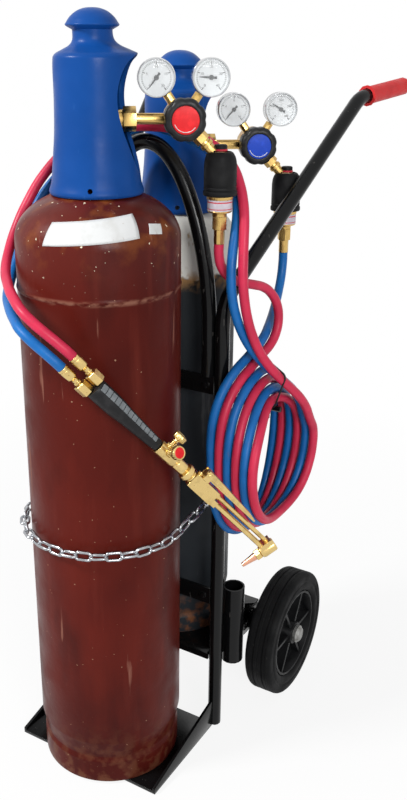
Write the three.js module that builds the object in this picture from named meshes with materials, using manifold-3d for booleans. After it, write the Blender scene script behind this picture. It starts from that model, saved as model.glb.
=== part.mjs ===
// Two-bottle gas welding cart, loaded for work: the tall fuel bottle stands on the front tray and the slim
// oxygen bottle on the shelf between the wheels. Millimetres, +Z up, +X the cart's right, +Y to the rear.
// The origin is the middle of the tray's underside, on the floor.

import * as THREE from 'three';
import { mergeVertices } from 'three/addons/utils/BufferGeometryUtils.js';
import Module from 'manifold-3d';

const wasm = await Module();
wasm.setup();

// Fits
const weldGap = 0.3;
const runGap = 0.5;
const bite = 1;

// Tray
const trayWidth = 238;
const trayDepth = 165;
const trayThickness = 5;
const gussetThickness = 4;
const gussetFrontHeight = 9;
const gussetRearHeight = 46;

// Frame tubes
const tubeRadius = 10;
const tubeWall = 2;
const tubeSides = 12;
const boreSides = 8;
const uprightX = 117;
const uprightY = trayDepth / 2 + weldGap + tubeRadius;
const kneeHeight = 675;
const handleReach = 295;
const handleHeight = 917;
const handleTail = 118;
const gripRise = THREE.MathUtils.degToRad(6);
const handleSplay = THREE.MathUtils.degToRad(11.3);
const kneeBend = 60;
const wristBend = 40;
const bendSteps = 3;

// Hand grips
const gripLength = 104;
const gripWall = 2;
const gripCap = 4;
const gripFlange = 2;
const gripSides = 12;

// Flat bars between the uprights
const barHeight = 26;
const barThickness = 5;
const lowerBarTop = 238;
const upperBarTop = 571;
const boltRadius = 5;
const boltHead = 4;
const boltInset = 12;

// Arch behind the front bottle
const archShoulder = 640;
const archTop = 872;
const archRise = 100;
const archCrown = 58;
const archSteps = 6;

// Wheels and axle
const wheelRadius = 100;
const wheelWidth = 44;
const wheelFace = 186;
const wheelBehind = 145;
const tyreHeight = 30;
const tyreShoulder = 6;
const tyreBead = 3;
const grooveDepth = 2.5;
const grooveHalf = 1.5;
const grooveOffset = 7.5;
const axleRadius = 10;
const axleSides = 16;
const hubBossRadius = 18;
const hubRim = 4;
const rimInset = 3;
const bossInset = 2;
const hubWeb = 5;
const spokeCount = 6;
const spokeThickness = 5;
const axleCapRadius = 14;
const axleCapDepth = 9;
const axleCapBevel = 4;
const axleCapEnd = 4;
const spokeInset = 4;
const wheelSegments = 24;

// Rear shelf and its cheeks
const shelfTop = 125;
const shelfThickness = 4;
const shelfLip = 10;
const shelfNose = 6;
const shelfTail = 4;
const cheekThickness = 4;
const cheekTop = 172;
const cheekFoot = 108;
const cheekTail = 26;
const cheekDrop = 16;

// Rod holder
const rodHolderRadius = 16.6;
const rodHolderWall = 2.5;
const rodHolderBottom = 96;
const rodHolderTop = 226;
const rodHolderBehind = 41.3;
const rodHolderSides = 16;

// Bottles
const bottleSegments = 24;
const bottleWall = 5;
const frontRadius = 102;
const frontGap = 5.1;
const frontShoulder = 767;
const frontDome = 62;
const frontFootHeight = 34;
const frontFootInset = 3;
const frontWaistInset = 5;
const frontSeam = 710;
const rearRadius = 80;
const rearGap = 0.5;
const rearShoulder = 733;
const rearDome = 55;
const rearFootHeight = 26;
const rearFootInset = 3;
const rearWaistInset = 4;
const seamBead = 1;
const seamHalf = 4;
const footEdge = 3;
const waistHeight = 5;
const swellHeight = 36;
const neckRadius = 36;
const neckBore = 14;
const neckRise = 24;
const domeSteps = 6;

// Guard caps
const capFoot = 56;
const capGap = 0.4;
const capHeight = 206;
const capWall = 4;
const capWaist = 47;
const capNeck = 23;
const capRim = 31;
const capRimDrop = 19;
const capNeckDrop = 38;
const capShoulderDrop = 49;
const capBellyRise = 72;
const capBelly = 1;
const capFlareRise = 36;
const capFlare = 4.5;
const capSkirtRise = 14;
const capSkirt = 2;
const capLipRise = 4;
const capEase = 4;
const capSegments = 16;
const capHoleRadius = 3;
const capHoleRise = 9;
const windowBottom = 22;
const windowTop = 158;
const windowHalf = 34;
const windowLean = 0.28;
const windowSteps = 14;

// Bottle valves, measured up from the cap's foot
const valveTurn = 0.65;
const capTurn = 0.49;
const outletRise = 85;
const outletRadius = 11;
const outletLength = 33;
const valveBodyRadius = 15;
const valveBonnetRadius = 11;
const spindleRadius = 4;
const spindleProud = 9;
const stemDepth = 20;
const handwheelRise = 26;
const handwheelRadius = 27;
const handwheelRing = 5;
const handwheelHeight = 9;
const handwheelGap = 2;
const handwheelProud = 2;
const handwheelHub = 9;
const handwheelArm = 3;

// Regulators, measured from the bottle's axis along the outlet
const regulatorReach = 104;
const regulatorRadius = 22;
const regulatorDepth = 24;
const unionNutRadius = 14.5;
const unionNutLength = 15;
const stemRadius = 6.5;
const knobRadius = 25;
const knobDepth = 26;
const knobFace = 16.3;
const noseLength = 4;
const noseRadius = 8.5;
const bonnetFront = 2;
const knobBevel = 3;
const knobRecess = 1.5;
const gaugeSide = 32;
const gaugeRise = 46;
const gaugeRadius = 22;
const gaugeFront = 14;
const gaugeBack = 8;
const gaugeRim = 1.7;
const gaugeBevel = 3;
const dialDepth = 5;
const needleLength = 14;
const needleTail = 5;
const needleWidth = 1.4;
const needleThickness = 1;
const needleHub = 2.4;
const dialZero = THREE.MathUtils.degToRad(-140);
const frontReadings = [0, 50];
const rearReadings = [0, 80];
const stubRadius = 5.5;
const smallSides = 12;
const roundSides = 16;

// Flashback arrestors, measured from the regulator's middle
const arrestorSide = 46;
const arrestorTop = 30;
const arrestorHead = 7;
const arrestorCore = 11;
const arrestorStub = 9;
const bootTop = 38;
const outletBelow = 10;
const bootBottom = 90.5;
const bootRadius = 20;
const bootBead = 0.8;
const bootBeadHeight = 3;
const bootShoulder = 10;
const bootRound = 2;
const bootTaper = 7;
const bandRadius = 15.5;
const bandBevel = 1.5;
const bandBottom = 111;
const arrestorBottom = 116;
const nutRadius = 9.5;
const nutLength = 16;
const ferruleLength = 18;
const ferruleWall = 0.5;
const ferruleSides = 10;
const nutSides = 6;

// Hoses
const hoseRadius = 6.3;
const hoseSides = 8;
const hoseLead = 2 * hoseRadius;
const loopSteps = 24;
const loopSides = 6;
const hoseGap = 1.2;
const hoseSpacing = 2 * hoseRadius + hoseGap;
const coilTurns = 3;
const coilHalfDepth = 83;
const coilHalfHeight = 101.5;
const coilLean = THREE.MathUtils.degToRad(10);
const topGather = THREE.MathUtils.degToRad(62);
const bottomGather = THREE.MathUtils.degToRad(36);
const coilGap = 0.5;
const coilBehind = 32.5;
const coilZ = 458;
const coilStart = THREE.MathUtils.degToRad(8);
const coilEnd = coilTurns * 2 * Math.PI - THREE.MathUtils.degToRad(62);
const hookRadius = 4;
const redFeedSteps = 12;
const blueFeedSteps = 10;
const leadSteps = 28;

// Chain round the front bottle
const chainHeight = 381;
const chainRise = 18;
const chainGap = 0.5;
const chainWire = 2;
const linkBite = 0.5;
const linkInside = 17.8;
const linkWidth = 14.5;
const pegRadius = 2.2;
const pegLength = 12;
const pegRise = 9;
const chainSides = 4;
const linkBendSteps = 2;
const linkBend = THREE.MathUtils.degToRad(62);

// Cutting torch
const torchHeading = THREE.MathUtils.degToRad(44.6);
const torchDive = THREE.MathUtils.degToRad(47.5);
const torchStandoff = 20;
const torchBack = 27.2;
const torchHeight = 616.4;
const tailSpacing = 9;
const tailNut = 16;
const tailNutRadius = 8.6;
const tailStem = 9;
const tailStemRadius = 3.8;
const tailFerrule = 19;
const torchHandleLength = 110;
const torchHandleRadius = 10.4;
const handleSwell = 2.9;
const handleBevel = 7;
const blockLength = 32;
const blockRadius = 9.5;
const bossRadius = 6;
const bossReach = 6;
const barrelLength = 18;
const barrelRadius = 8;
const couplingLength = 13;
const couplingRadius = 11;
const attachmentLength = 42;
const attachmentHalf = 8;
const attachmentTop = 9;
const attachmentBottom = 10.5;
const torchTube = 3;
const tubeSpread = 4;
const tubeDrop = 5;
const torchTubeLength = 112;
const headLean = THREE.MathUtils.degToRad(10);
const headRadius = 9;
const headTop = 10;
const headBottom = 12;
const nozzleNut = 8;
const nozzleNutRadius = 7.5;
const nozzleLength = 29;
const nozzleRadius = 5;
const nozzleTip = 2.5;
const nozzleSides = 8;
const tapSides = 10;
const torchKnobRadius = 8.8;
const torchKnobDepth = 8;
const knobStem = 5.8;
const knobStemRadius = 3.2;
const oxygenKnobAt = 12.7;
const fuelKnobAt = 15;
const fuelKnobRoll = THREE.MathUtils.degToRad(31);
const leverPivot = 13.7;
const leverLength = 94;
const leverHalf = 5;
const leverThickness = 3;
const leverLift = 8;
const leverTip = 12;
const leverEnd = 4.5;
const leverFall = 5;
const leverPin = 2;
const earThickness = 2.5;
const earHalf = 5;

// Colours seen on the cart
const blackPaint = { color: 0x141416, roughness: 0.45, metalness: 0.3 };
const gripRed = { color: 0xb01c22, roughness: 0.55, metalness: 0 };
const rubber = { color: 0x17171a, roughness: 0.8, metalness: 0 };
const blackPlastic = { color: 0x1c1c1f, roughness: 0.6, metalness: 0 };
const steel = { color: 0x9a9a9c, roughness: 0.35, metalness: 1 };
const brownPaint = { color: 0x5a201a, roughness: 0.4, metalness: 0.1 };
const greyPaint = { color: 0x8e9296, roughness: 0.5, metalness: 0.1 };
const capBlue = { color: 0x1f5fb8, roughness: 0.35, metalness: 0 };
const brass = { color: 0xb8913f, roughness: 0.3, metalness: 1 };
const gaugeWhite = { color: 0xd8dadc, roughness: 0.35, metalness: 0.4 };
const hoseRed = { color: 0xc02a44, roughness: 0.55, metalness: 0 };
const hoseBlue = { color: 0x1b62ad, roughness: 0.55, metalness: 0 };
const copper = { color: 0xb0633c, roughness: 0.35, metalness: 1 };

// Closed geometry with shared corners, no collapsed triangles and its faces pointing out
function tidy(source) {
  const bare = source.index ? source.toNonIndexed() : source.clone();
  for (const name of Object.keys(bare.attributes)) {
    if (name !== 'position') bare.deleteAttribute(name);
  }
  const merged = mergeVertices(bare, 1e-4);
  const place = merged.attributes.position;
  const corner = [new THREE.Vector3(), new THREE.Vector3(), new THREE.Vector3()];
  const kept = [];
  let volume = 0;
  for (let i = 0; i < merged.index.count; i += 3) {
    const ids = [0, 1, 2].map((k) => merged.index.getX(i + k));
    if (ids[0] === ids[1] || ids[1] === ids[2] || ids[2] === ids[0]) continue;
    ids.forEach((id, k) => corner[k].fromBufferAttribute(place, id));
    volume += corner[0].dot(corner[1].clone().cross(corner[2]));
    kept.push(ids);
  }
  const facing = volume < 0 ? kept.map((ids) => [ids[0], ids[2], ids[1]]) : kept;
  const geometry = new THREE.BufferGeometry();
  geometry.setAttribute('position', place);
  geometry.setIndex(facing.flat());
  return geometry;
}

function toSolid(geometry) {
  const clean = tidy(geometry);
  return new wasm.Manifold(new wasm.Mesh({
    numProp: 3,
    vertProperties: new Float32Array(clean.attributes.position.array),
    triVerts: new Uint32Array(clean.index.array),
  }));
}

function toGeometry(solid) {
  const mesh = solid.getMesh();
  const geometry = new THREE.BufferGeometry();
  geometry.setAttribute('position', new THREE.BufferAttribute(mesh.vertProperties, 3));
  geometry.setIndex(Array.from(mesh.triVerts));
  return geometry;
}

function join(...geometries) {
  return toGeometry(geometries.map(toSolid).reduce((whole, piece) => whole.add(piece)));
}

function cut(base, ...tools) {
  return toGeometry(tools.map(toSolid).reduce((whole, tool) => whole.subtract(tool), toSolid(base)));
}

function box(low, high) {
  const size = high.map((value, axis) => value - low[axis]);
  const middle = high.map((value, axis) => (value + low[axis]) / 2);
  return new THREE.BoxGeometry(...size).translate(...middle);
}

// Straight round or many-sided bar between two points
function rod(radius, from, to, sides = smallSides) {
  const start = new THREE.Vector3(...from);
  const run = new THREE.Vector3(...to).sub(start);
  const bar = new THREE.CylinderGeometry(radius, radius, run.length(), sides);
  const turn = new THREE.Quaternion().setFromUnitVectors(new THREE.Vector3(0, 1, 0), run.clone().normalize());
  return bar.applyQuaternion(turn).translate(...start.addScaledVector(run, 0.5).toArray());
}

// Turned shape round Y from [radius, height] pairs
function turned(profile, segments) {
  const outline = profile.map(([radius, height]) => new THREE.Vector2(radius, height));
  return new THREE.LatheGeometry(outline, segments);
}

function turnedZ(profile, segments) {
  return turned(profile, segments).rotateX(Math.PI / 2);
}

function turnedX(profile, segments) {
  return turned(profile, segments).rotateZ(-Math.PI / 2);
}

// A many-sided hole keeps its flats clear of a round bar of this radius
function clearHole(radius, sides) {
  return radius / Math.cos(Math.PI / sides);
}

// Plate with its outline in the YZ plane, as [y, z] pairs, and its thickness along X
function plateX(outline, from, to, hole) {
  const shape = new THREE.Shape(outline.map(([y, z]) => new THREE.Vector2(y, z)));
  if (hole) shape.holes.push(hole);
  const plate = new THREE.ExtrudeGeometry(shape, { depth: to - from, bevelEnabled: false });
  const axes = new THREE.Matrix4().makeBasis(
    new THREE.Vector3(0, 1, 0), new THREE.Vector3(0, 0, 1), new THREE.Vector3(1, 0, 0));
  return plate.applyMatrix4(axes).translate(from, 0, 0);
}

function polygon(radius, sides) {
  const corners = [];
  for (let i = 0; i < sides; i += 1) {
    const angle = (i + 0.5) * 2 * Math.PI / sides;
    corners.push(new THREE.Vector2(radius * Math.cos(angle), radius * Math.sin(angle)));
  }
  return corners;
}

// A path that sets one ring at each of its points and carries its frame along without twisting it
class RingPath extends THREE.Curve {
  constructor(points) {
    super();
    this.points = points;
  }

  getSpacedPoints() {
    return this.points;
  }

  computeFrenetFrames() {
    const last = this.points.length - 1;
    const tangents = this.points.map((point, i) => {
      const before = this.points[Math.max(i - 1, 0)];
      const after = this.points[Math.min(i + 1, last)];
      return after.clone().sub(before).normalize();
    });
    const up = Math.abs(tangents[0].z) < 0.9 ? new THREE.Vector3(0, 0, 1) : new THREE.Vector3(0, 1, 0);
    const normals = [];
    const binormals = [];
    tangents.forEach((tangent, i) => {
      const carried = i ? normals[i - 1] : up;
      normals.push(carried.clone().addScaledVector(tangent, -carried.dot(tangent)).normalize());
      binormals.push(tangent.clone().cross(normals[i]));
    });
    return { tangents, normals, binormals };
  }
}

function tube(points, radius, sides, bore) {
  const section = new THREE.Shape(polygon(radius, sides));
  if (bore) section.holes.push(new THREE.Path(polygon(bore, boreSides)));
  return new THREE.ExtrudeGeometry(section, { steps: points.length - 1, extrudePath: new RingPath(points) });
}

// Straight runs between corners, with each inner corner rounded to its bend radius
function bentPath(corners, bends) {
  const points = [corners[0]];
  for (let i = 1; i < corners.length - 1; i += 1) {
    const before = corners[i].clone().sub(corners[i - 1]).normalize();
    const after = corners[i + 1].clone().sub(corners[i]).normalize();
    const angle = before.angleTo(after);
    const start = corners[i].clone().addScaledVector(before, -bends[i - 1] * Math.tan(angle / 2));
    const inward = after.clone().addScaledVector(before, -after.dot(before)).normalize();
    for (let step = 0; step <= bendSteps; step += 1) {
      const part = angle * step / bendSteps;
      points.push(start.clone()
        .addScaledVector(before, bends[i - 1] * Math.sin(part))
        .addScaledVector(inward, bends[i - 1] * (1 - Math.cos(part))));
    }
  }
  points.push(corners[corners.length - 1]);
  return points;
}

const group = new THREE.Group();

function add(name, geometry, look, parent = group) {
  const mesh = new THREE.Mesh(tidy(geometry), new THREE.MeshStandardMaterial(look));
  mesh.name = name;
  parent.add(mesh);
  return mesh;
}

function placed(x, y, z, turn = 0) {
  const holder = new THREE.Group();
  holder.position.set(x, y, z);
  holder.rotation.z = turn;
  group.add(holder);
  return holder;
}

const sides = [['right', 1], ['left', -1]];

// Places that several pieces share
const barHalf = uprightX - tubeRadius - weldGap;
const frontAxisY = uprightY - barThickness / 2 - frontGap - frontRadius;
const rearAxisY = uprightY + barThickness / 2 + rearGap + rearRadius;
const frontBase = trayThickness + weldGap;
const rearBase = shelfTop + weldGap;
const wheelY = uprightY + wheelBehind;
const hubOuter = wheelRadius - tyreHeight;

function domeHeight(radius, dome, at) {
  return dome * Math.sqrt(1 - (at / radius) ** 2);
}

const frontCapFoot = frontShoulder + domeHeight(frontRadius, frontDome, capFoot - capWall) + capGap;
const rearCapFoot = rearShoulder + domeHeight(rearRadius, rearDome, capFoot - capWall) + capGap;

// Tray: a floor plate with a rising side gusset at each edge, welded to the uprights
function makeTray() {
  const rear = trayDepth / 2;
  const half = trayWidth / 2;
  const plate = box([-half, -rear, 0], [half, rear, trayThickness]);
  const outline = [[-rear, 0], [rear, 0], [rear, gussetRearHeight], [-rear, gussetFrontHeight]];
  const gussets = sides.map(([, side]) => {
    const outer = side * half;
    const inner = side * (half - gussetThickness);
    return plateX(outline, Math.min(outer, inner), Math.max(outer, inner));
  });
  add('tray', join(plate, ...gussets), blackPaint);
}

// Upright and handle: one tube, bent rearward at the knee and level again at the wrist, splayed outward
const handleCorners = [
  new THREE.Vector3(0, 0, 0),
  new THREE.Vector3(0, 0, kneeHeight),
  new THREE.Vector3(0, handleReach, handleHeight),
  new THREE.Vector3(
    0,
    handleReach + handleTail * Math.cos(gripRise),
    handleHeight + handleTail * Math.sin(gripRise),
  ),
];

const pegHeight = chainHeight + chainRise - pegRadius - chainWire - runGap;

function makeUpright(name, side) {
  const holder = placed(side * uprightX, uprightY, 0, -side * handleSplay);
  const path = bentPath(handleCorners, [kneeBend, wristBend]);
  const bent = tube(path, tubeRadius, tubeSides, tubeRadius - tubeWall);
  const forward = new THREE.Vector3(0, -1, 0).applyAxisAngle(new THREE.Vector3(0, 0, 1), side * handleSplay);
  const pegStart = forward.clone().multiplyScalar(tubeRadius - tubeWall / 2).setZ(pegHeight);
  const pegEnd = forward.clone().multiplyScalar(tubeRadius + pegLength).setZ(pegHeight);
  const peg = bentPath([pegStart, pegEnd, pegEnd.clone().setZ(pegHeight + pegRise)], [pegRadius]);
  add(`upright_${name}`, join(bent, tube(peg, pegRadius, 8)), blackPaint, holder);
}

function makeGrip(name, side) {
  const holder = placed(side * uprightX, uprightY, 0, -side * handleSplay);
  const bore = clearHole(tubeRadius + weldGap, gripSides);
  const outer = bore + gripWall;
  const inside = gripLength - gripCap;
  const profile = [
    [bore, 0], [outer + gripFlange, 0], [outer + gripFlange, gripWall], [outer, 2 * gripWall],
    [outer, gripLength - gripCap], [outer - gripCap, gripLength], [0, gripLength],
    [0, inside], [bore, inside], [bore, 0],
  ];
  const tip = handleCorners[3];
  const sleeve = turned(profile, gripSides).rotateX(gripRise);
  const back = inside - weldGap;
  sleeve.translate(0, tip.y - back * Math.cos(gripRise), tip.z - back * Math.sin(gripRise));
  add(`grip_${name}`, sleeve, gripRed, holder);
}

// Arch: one bent tube whose feet stand on the upper crossbar against the uprights
function makeArch() {
  const legX = uprightX - 2 * tubeRadius - weldGap;
  const curve = new THREE.CubicBezierCurve3(
    new THREE.Vector3(legX, uprightY, archShoulder),
    new THREE.Vector3(legX, uprightY, archShoulder + archRise),
    new THREE.Vector3(archCrown, uprightY, archTop),
    new THREE.Vector3(0, uprightY, archTop));
  const half = [new THREE.Vector3(legX, uprightY, upperBarTop + weldGap), ...curve.getPoints(archSteps)];
  const mirrored = half.slice(0, -1).map((point) => new THREE.Vector3(-point.x, point.y, point.z));
  const points = [...mirrored, ...half.reverse()];
  add('arch_tube', tube(points, tubeRadius, tubeSides, tubeRadius - tubeWall), blackPaint);
}

function makeCrossbar(name, top) {
  const front = uprightY - barThickness / 2;
  const bar = box([-barHalf, front, top - barHeight], [barHalf, front + barThickness, top]);
  const bolts = sides.map(([, side]) => {
    const x = side * (barHalf - boltInset);
    const z = top - barHeight / 2;
    return rod(boltRadius, [x, front + bite, z], [x, front - boltHead, z], 6);
  });
  add(name, join(bar, ...bolts), blackPaint);
}

// Rear shelf: floor with a front lip, hung between two cheeks that carry the axle
function makeShelf() {
  const front = uprightY - shelfNose;
  const rear = rearAxisY + rearRadius + shelfTail;
  const floorZ = shelfTop - shelfThickness;
  const floor = box([-barHalf, front, floorZ], [barHalf, rear, shelfTop]);
  const lip = box([-barHalf, front, shelfTop - shelfLip], [barHalf, front + shelfThickness, shelfTop]);
  const start = uprightY + tubeRadius + weldGap;
  const end = wheelY + cheekTail;
  const outline = [
    [start, cheekFoot], [wheelY - cheekTail, wheelRadius - cheekDrop], [end, wheelRadius - cheekDrop],
    [end, wheelRadius + cheekDrop], [uprightY + rodHolderBehind + cheekTail, cheekTop], [start, cheekTop],
  ];
  const bore = clearHole(axleRadius + weldGap, axleSides);
  const cheeks = sides.map(([, side]) => {
    const centre = new THREE.Vector2(wheelY, wheelRadius);
    const hole = new THREE.Path(polygon(bore, axleSides).map((corner) => corner.add(centre)));
    const outer = side * barHalf;
    const inner = side * (barHalf - cheekThickness);
    return plateX(outline, Math.min(outer, inner), Math.max(outer, inner), hole);
  });
  add('rear_shelf', join(floor, lip, ...cheeks), blackPaint);
}

function makeRodHolder() {
  const inner = rodHolderRadius - rodHolderWall;
  const floor = rodHolderBottom + rodHolderWall;
  const profile = [
    [0, rodHolderBottom], [rodHolderRadius, rodHolderBottom], [rodHolderRadius, rodHolderTop],
    [inner, rodHolderTop], [inner, floor], [0, floor],
  ];
  const holder = placed(barHalf + weldGap + rodHolderRadius, uprightY + rodHolderBehind, 0);
  add('rod_holder', turnedZ(profile, rodHolderSides), blackPaint, holder);
}

// Axle with a wheel and a push-on end cap at each side
const bossFace = wheelFace - bossInset;
const axleEnd = bossFace + runGap + axleCapDepth - axleCapEnd;

function makeAxle() {
  const shaft = rod(axleRadius, [-axleEnd, wheelY, wheelRadius], [axleEnd, wheelY, wheelRadius], axleSides);
  add('axle', shaft, steel);
}

function makeTyre(name, side) {
  const half = wheelWidth / 2;
  const seat = hubOuter + weldGap;
  const groove = (x) => [
    [wheelRadius, x - grooveHalf], [wheelRadius - grooveDepth, x], [wheelRadius, x + grooveHalf],
  ];
  const profile = [
    [seat, -half + tyreBead], [seat + tyreBead, -half], [wheelRadius - tyreShoulder, -half],
    [wheelRadius, -half + tyreShoulder], ...groove(-grooveOffset), ...groove(grooveOffset),
    [wheelRadius, half - tyreShoulder], [wheelRadius - tyreShoulder, half], [seat + tyreBead, half],
    [seat, half - tyreBead], [seat, -half + tyreBead],
  ];
  const holder = placed(side * (wheelFace - half), wheelY, wheelRadius);
  add(`tyre_${name}`, turnedX(profile, wheelSegments), rubber, holder);
}

function makeHub(name, side) {
  const inner = barHalf + runGap;
  const rimInner = wheelFace - wheelWidth + rimInset;
  const rimOuter = wheelFace - rimInset;
  const middle = (rimInner + rimOuter) / 2;
  const rimBore = hubOuter - hubRim;
  const bossProfile = [[0, inner], [hubBossRadius, inner], [hubBossRadius, bossFace], [0, bossFace]];
  const boss = turnedX(bossProfile, smallSides);
  const rim = turnedX([
    [rimBore, rimInner], [hubOuter, rimInner], [hubOuter, rimOuter], [rimBore, rimOuter], [rimBore, rimInner],
  ], wheelSegments);
  const web = turnedX([
    [0, middle - hubWeb / 2], [rimBore + bite, middle - hubWeb / 2], [rimBore + bite, middle + hubWeb / 2],
    [0, middle + hubWeb / 2],
  ], wheelSegments);
  const spokes = [];
  for (let i = 0; i < spokeCount; i += 1) {
    const spoke = box(
      [rimInner + spokeInset, 0, -spokeThickness / 2],
      [rimOuter - spokeInset, rimBore + bite, spokeThickness / 2],
    );
    spokes.push(spoke.rotateX(i * 2 * Math.PI / spokeCount));
  }
  const boreRadius = clearHole(axleRadius + runGap, axleSides);
  const bore = rod(boreRadius, [inner - bite, 0, 0], [bossFace + bite, 0, 0], axleSides);
  const hub = cut(join(boss, rim, web, ...spokes), bore);
  const holder = placed(0, wheelY, wheelRadius, side > 0 ? 0 : Math.PI);
  add(`hub_${name}`, hub, blackPlastic, holder);
}

function makeAxleCap(name, side) {
  const start = bossFace + runGap;
  const end = start + axleCapDepth;
  const bore = clearHole(axleRadius + weldGap, axleSides);
  const profile = [
    [bore, start], [axleCapRadius, start], [axleCapRadius, end - axleCapBevel],
    [axleCapRadius - axleCapBevel, end], [0, end],
    [0, axleEnd + weldGap], [bore, axleEnd + weldGap], [bore, start],
  ];
  const holder = placed(0, wheelY, wheelRadius, side > 0 ? 0 : Math.PI);
  add(`axle_cap_${name}`, turnedX(profile, axleSides), steel, holder);
}

// Steel bottle with a foot ring, a waist above it, a domed shoulder and a bored neck
function bottleProfile({ radius, base, shoulder, dome, foot, footInset, waistInset, seam }) {
  const outside = [
    [0, base], [radius - footInset - footEdge, base], [radius - footInset, base + footEdge],
    [radius - footInset, base + foot], [radius - waistInset, base + foot + waistHeight],
    [radius - waistInset, base + foot + 2 * waistHeight], [radius, base + foot + swellHeight],
  ];
  if (seam) outside.push([radius, seam - seamHalf], [radius + seamBead, seam], [radius, seam + seamHalf]);
  const outerDome = [];
  const innerDome = [];
  const endAngle = Math.acos(neckRadius / radius);
  for (let i = 0; i <= domeSteps; i += 1) {
    const angle = endAngle * i / domeSteps;
    outerDome.push([radius * Math.cos(angle), shoulder + dome * Math.sin(angle)]);
    if (i % 3) continue;
    const hollow = [(radius - bottleWall) * Math.cos(angle), shoulder + (dome - bottleWall) * Math.sin(angle)];
    innerDome.push(hollow);
  }
  const neckFoot = outerDome[domeSteps][1];
  const neckTop = neckFoot + neckRise;
  const bore = clearHole(neckBore, bottleSegments);
  return [
    ...outside, ...outerDome, [neckRadius, neckTop], [bore, neckTop], [bore, neckFoot],
    ...innerDome.reverse(), [radius - bottleWall, base + foot + swellHeight],
    [radius / 2, base + foot + bottleWall], [0, base + foot],
  ];
}

function neckTopOf(radius, shoulder, dome) {
  return shoulder + domeHeight(radius, dome, neckRadius) + neckRise;
}

// Guard cap: a mushroom top on a flared skirt, with an egg-shaped window in one side
function makeCap(name, holder) {
  const thin = capWaist - capWall;
  const rimZ = capHeight - capRimDrop;
  const neckZ = capHeight - capNeckDrop;
  const shoulderZ = capHeight - capShoulderDrop;
  const outside = [
    [capFoot - capWall, 0], [capFoot, 0], [capFoot + capBelly, capLipRise],
    [capFoot - capSkirt, capSkirtRise], [capWaist + capFlare, capFlareRise],
    [capWaist + capBelly, capBellyRise], [capWaist, shoulderZ - 2 * capEase],
    [capWaist - capEase, shoulderZ], [capNeck + capEase, neckZ - capEase / 2], [capNeck, neckZ + capEase],
    [capNeck, rimZ - capEase], [capRim, rimZ], [capRim - capEase, rimZ + capRimDrop / 3],
    [capNeck - capEase, rimZ + 0.75 * capRimDrop], [capNeck / 3, capHeight], [0, capHeight],
  ];
  const inside = [
    [0, rimZ + capEase], [capNeck - capWall, rimZ - capEase], [capNeck - capWall, neckZ],
    [thin, shoulderZ - 3 * capEase], [thin + capBelly, capBellyRise], [thin + capFlare, capFlareRise],
    [capFoot - capWall - capSkirt, capSkirtRise], [capFoot - capWall, 0],
  ];
  const middle = (windowBottom + windowTop) / 2;
  const half = (windowTop - windowBottom) / 2;
  const outline = [];
  for (let i = 0; i < windowSteps; i += 1) {
    const angle = i * 2 * Math.PI / windowSteps;
    const wide = windowHalf * (1 + windowLean * Math.cos(angle));
    outline.push([wide * Math.sin(angle), middle + half * Math.cos(angle)]);
  }
  const through = 1.2 * capFoot;
  const opening = plateX(outline, 0, through);
  const hole = rod(capHoleRadius, [0, 0, capHoleRise], [0, -through, capHoleRise], 10);
  add(`${name}_cap`, cut(turnedZ([...outside, ...inside], capSegments), opening, hole), capBlue, holder);
}

// Bottle valve: stem in the neck, side outlet, and a spindle for the handwheel
function makeValve(name, holder, neckTop, outletZ) {
  const stem = neckBore - weldGap;
  const bonnetTop = outletZ + handwheelRise - handwheelGap - handwheelProud;
  const spindleTop = outletZ + handwheelRise + handwheelHeight + spindleProud;
  const stemFoot = neckTop - stemDepth;
  const profile = [
    [0, stemFoot], [stem, stemFoot], [stem, neckTop + weldGap],
    [valveBodyRadius, neckTop + weldGap], [valveBodyRadius, outletZ + outletRadius],
    [valveBonnetRadius, outletZ + outletRadius + handwheelProud], [valveBonnetRadius, bonnetTop],
    [spindleRadius, bonnetTop], [spindleRadius, spindleTop], [0, spindleTop],
  ];
  const outlet = rod(outletRadius, [0, 0, outletZ], [outletLength, 0, outletZ]);
  add(`${name}_valve`, join(turnedZ(profile, smallSides), outlet), brass, holder);
}

function makeHandwheel(name, holder, outletZ) {
  const foot = outletZ + handwheelRise;
  const top = foot + handwheelHeight;
  const inner = handwheelRadius - handwheelRing;
  const rim = turnedZ([
    [inner, foot], [handwheelRadius, foot], [handwheelRadius, top], [inner, top], [inner, foot],
  ], 16);
  const hubFoot = foot - handwheelProud;
  const hubTop = top + handwheelProud;
  const hubProfile = [[0, hubFoot], [handwheelHub, hubFoot], [handwheelHub, hubTop], [0, hubTop]];
  const hub = turnedZ(hubProfile, smallSides);
  const arms = [0, 1, 2].map((i) => {
    const arm = box(
      [0, -handwheelArm, foot + handwheelProud],
      [inner + bite, handwheelArm, top - handwheelProud],
    );
    return arm.rotateZ(i * 2 * Math.PI / 3);
  });
  const boreRadius = clearHole(spindleRadius + runGap, smallSides);
  const bore = rod(boreRadius, [0, 0, hubFoot - bite], [0, 0, hubTop + bite]);
  add(`${name}_handwheel`, cut(join(rim, hub, ...arms), bore), blackPlastic, holder);
}

// Regulator: union nut and stem, round body, two gauge stubs and the outlet that dives to the arrestor
const gaugeDistance = Math.hypot(gaugeSide, gaugeRise);
const outletDrop = bootTop + outletBelow;
const outletDistance = Math.hypot(arrestorSide, outletDrop);

function outletRod(radius, from, to) {
  const along = (distance) => [
    regulatorReach + arrestorSide * distance / outletDistance, 0, -outletDrop * distance / outletDistance,
  ];
  return rod(radius, along(from), along(to));
}

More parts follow.
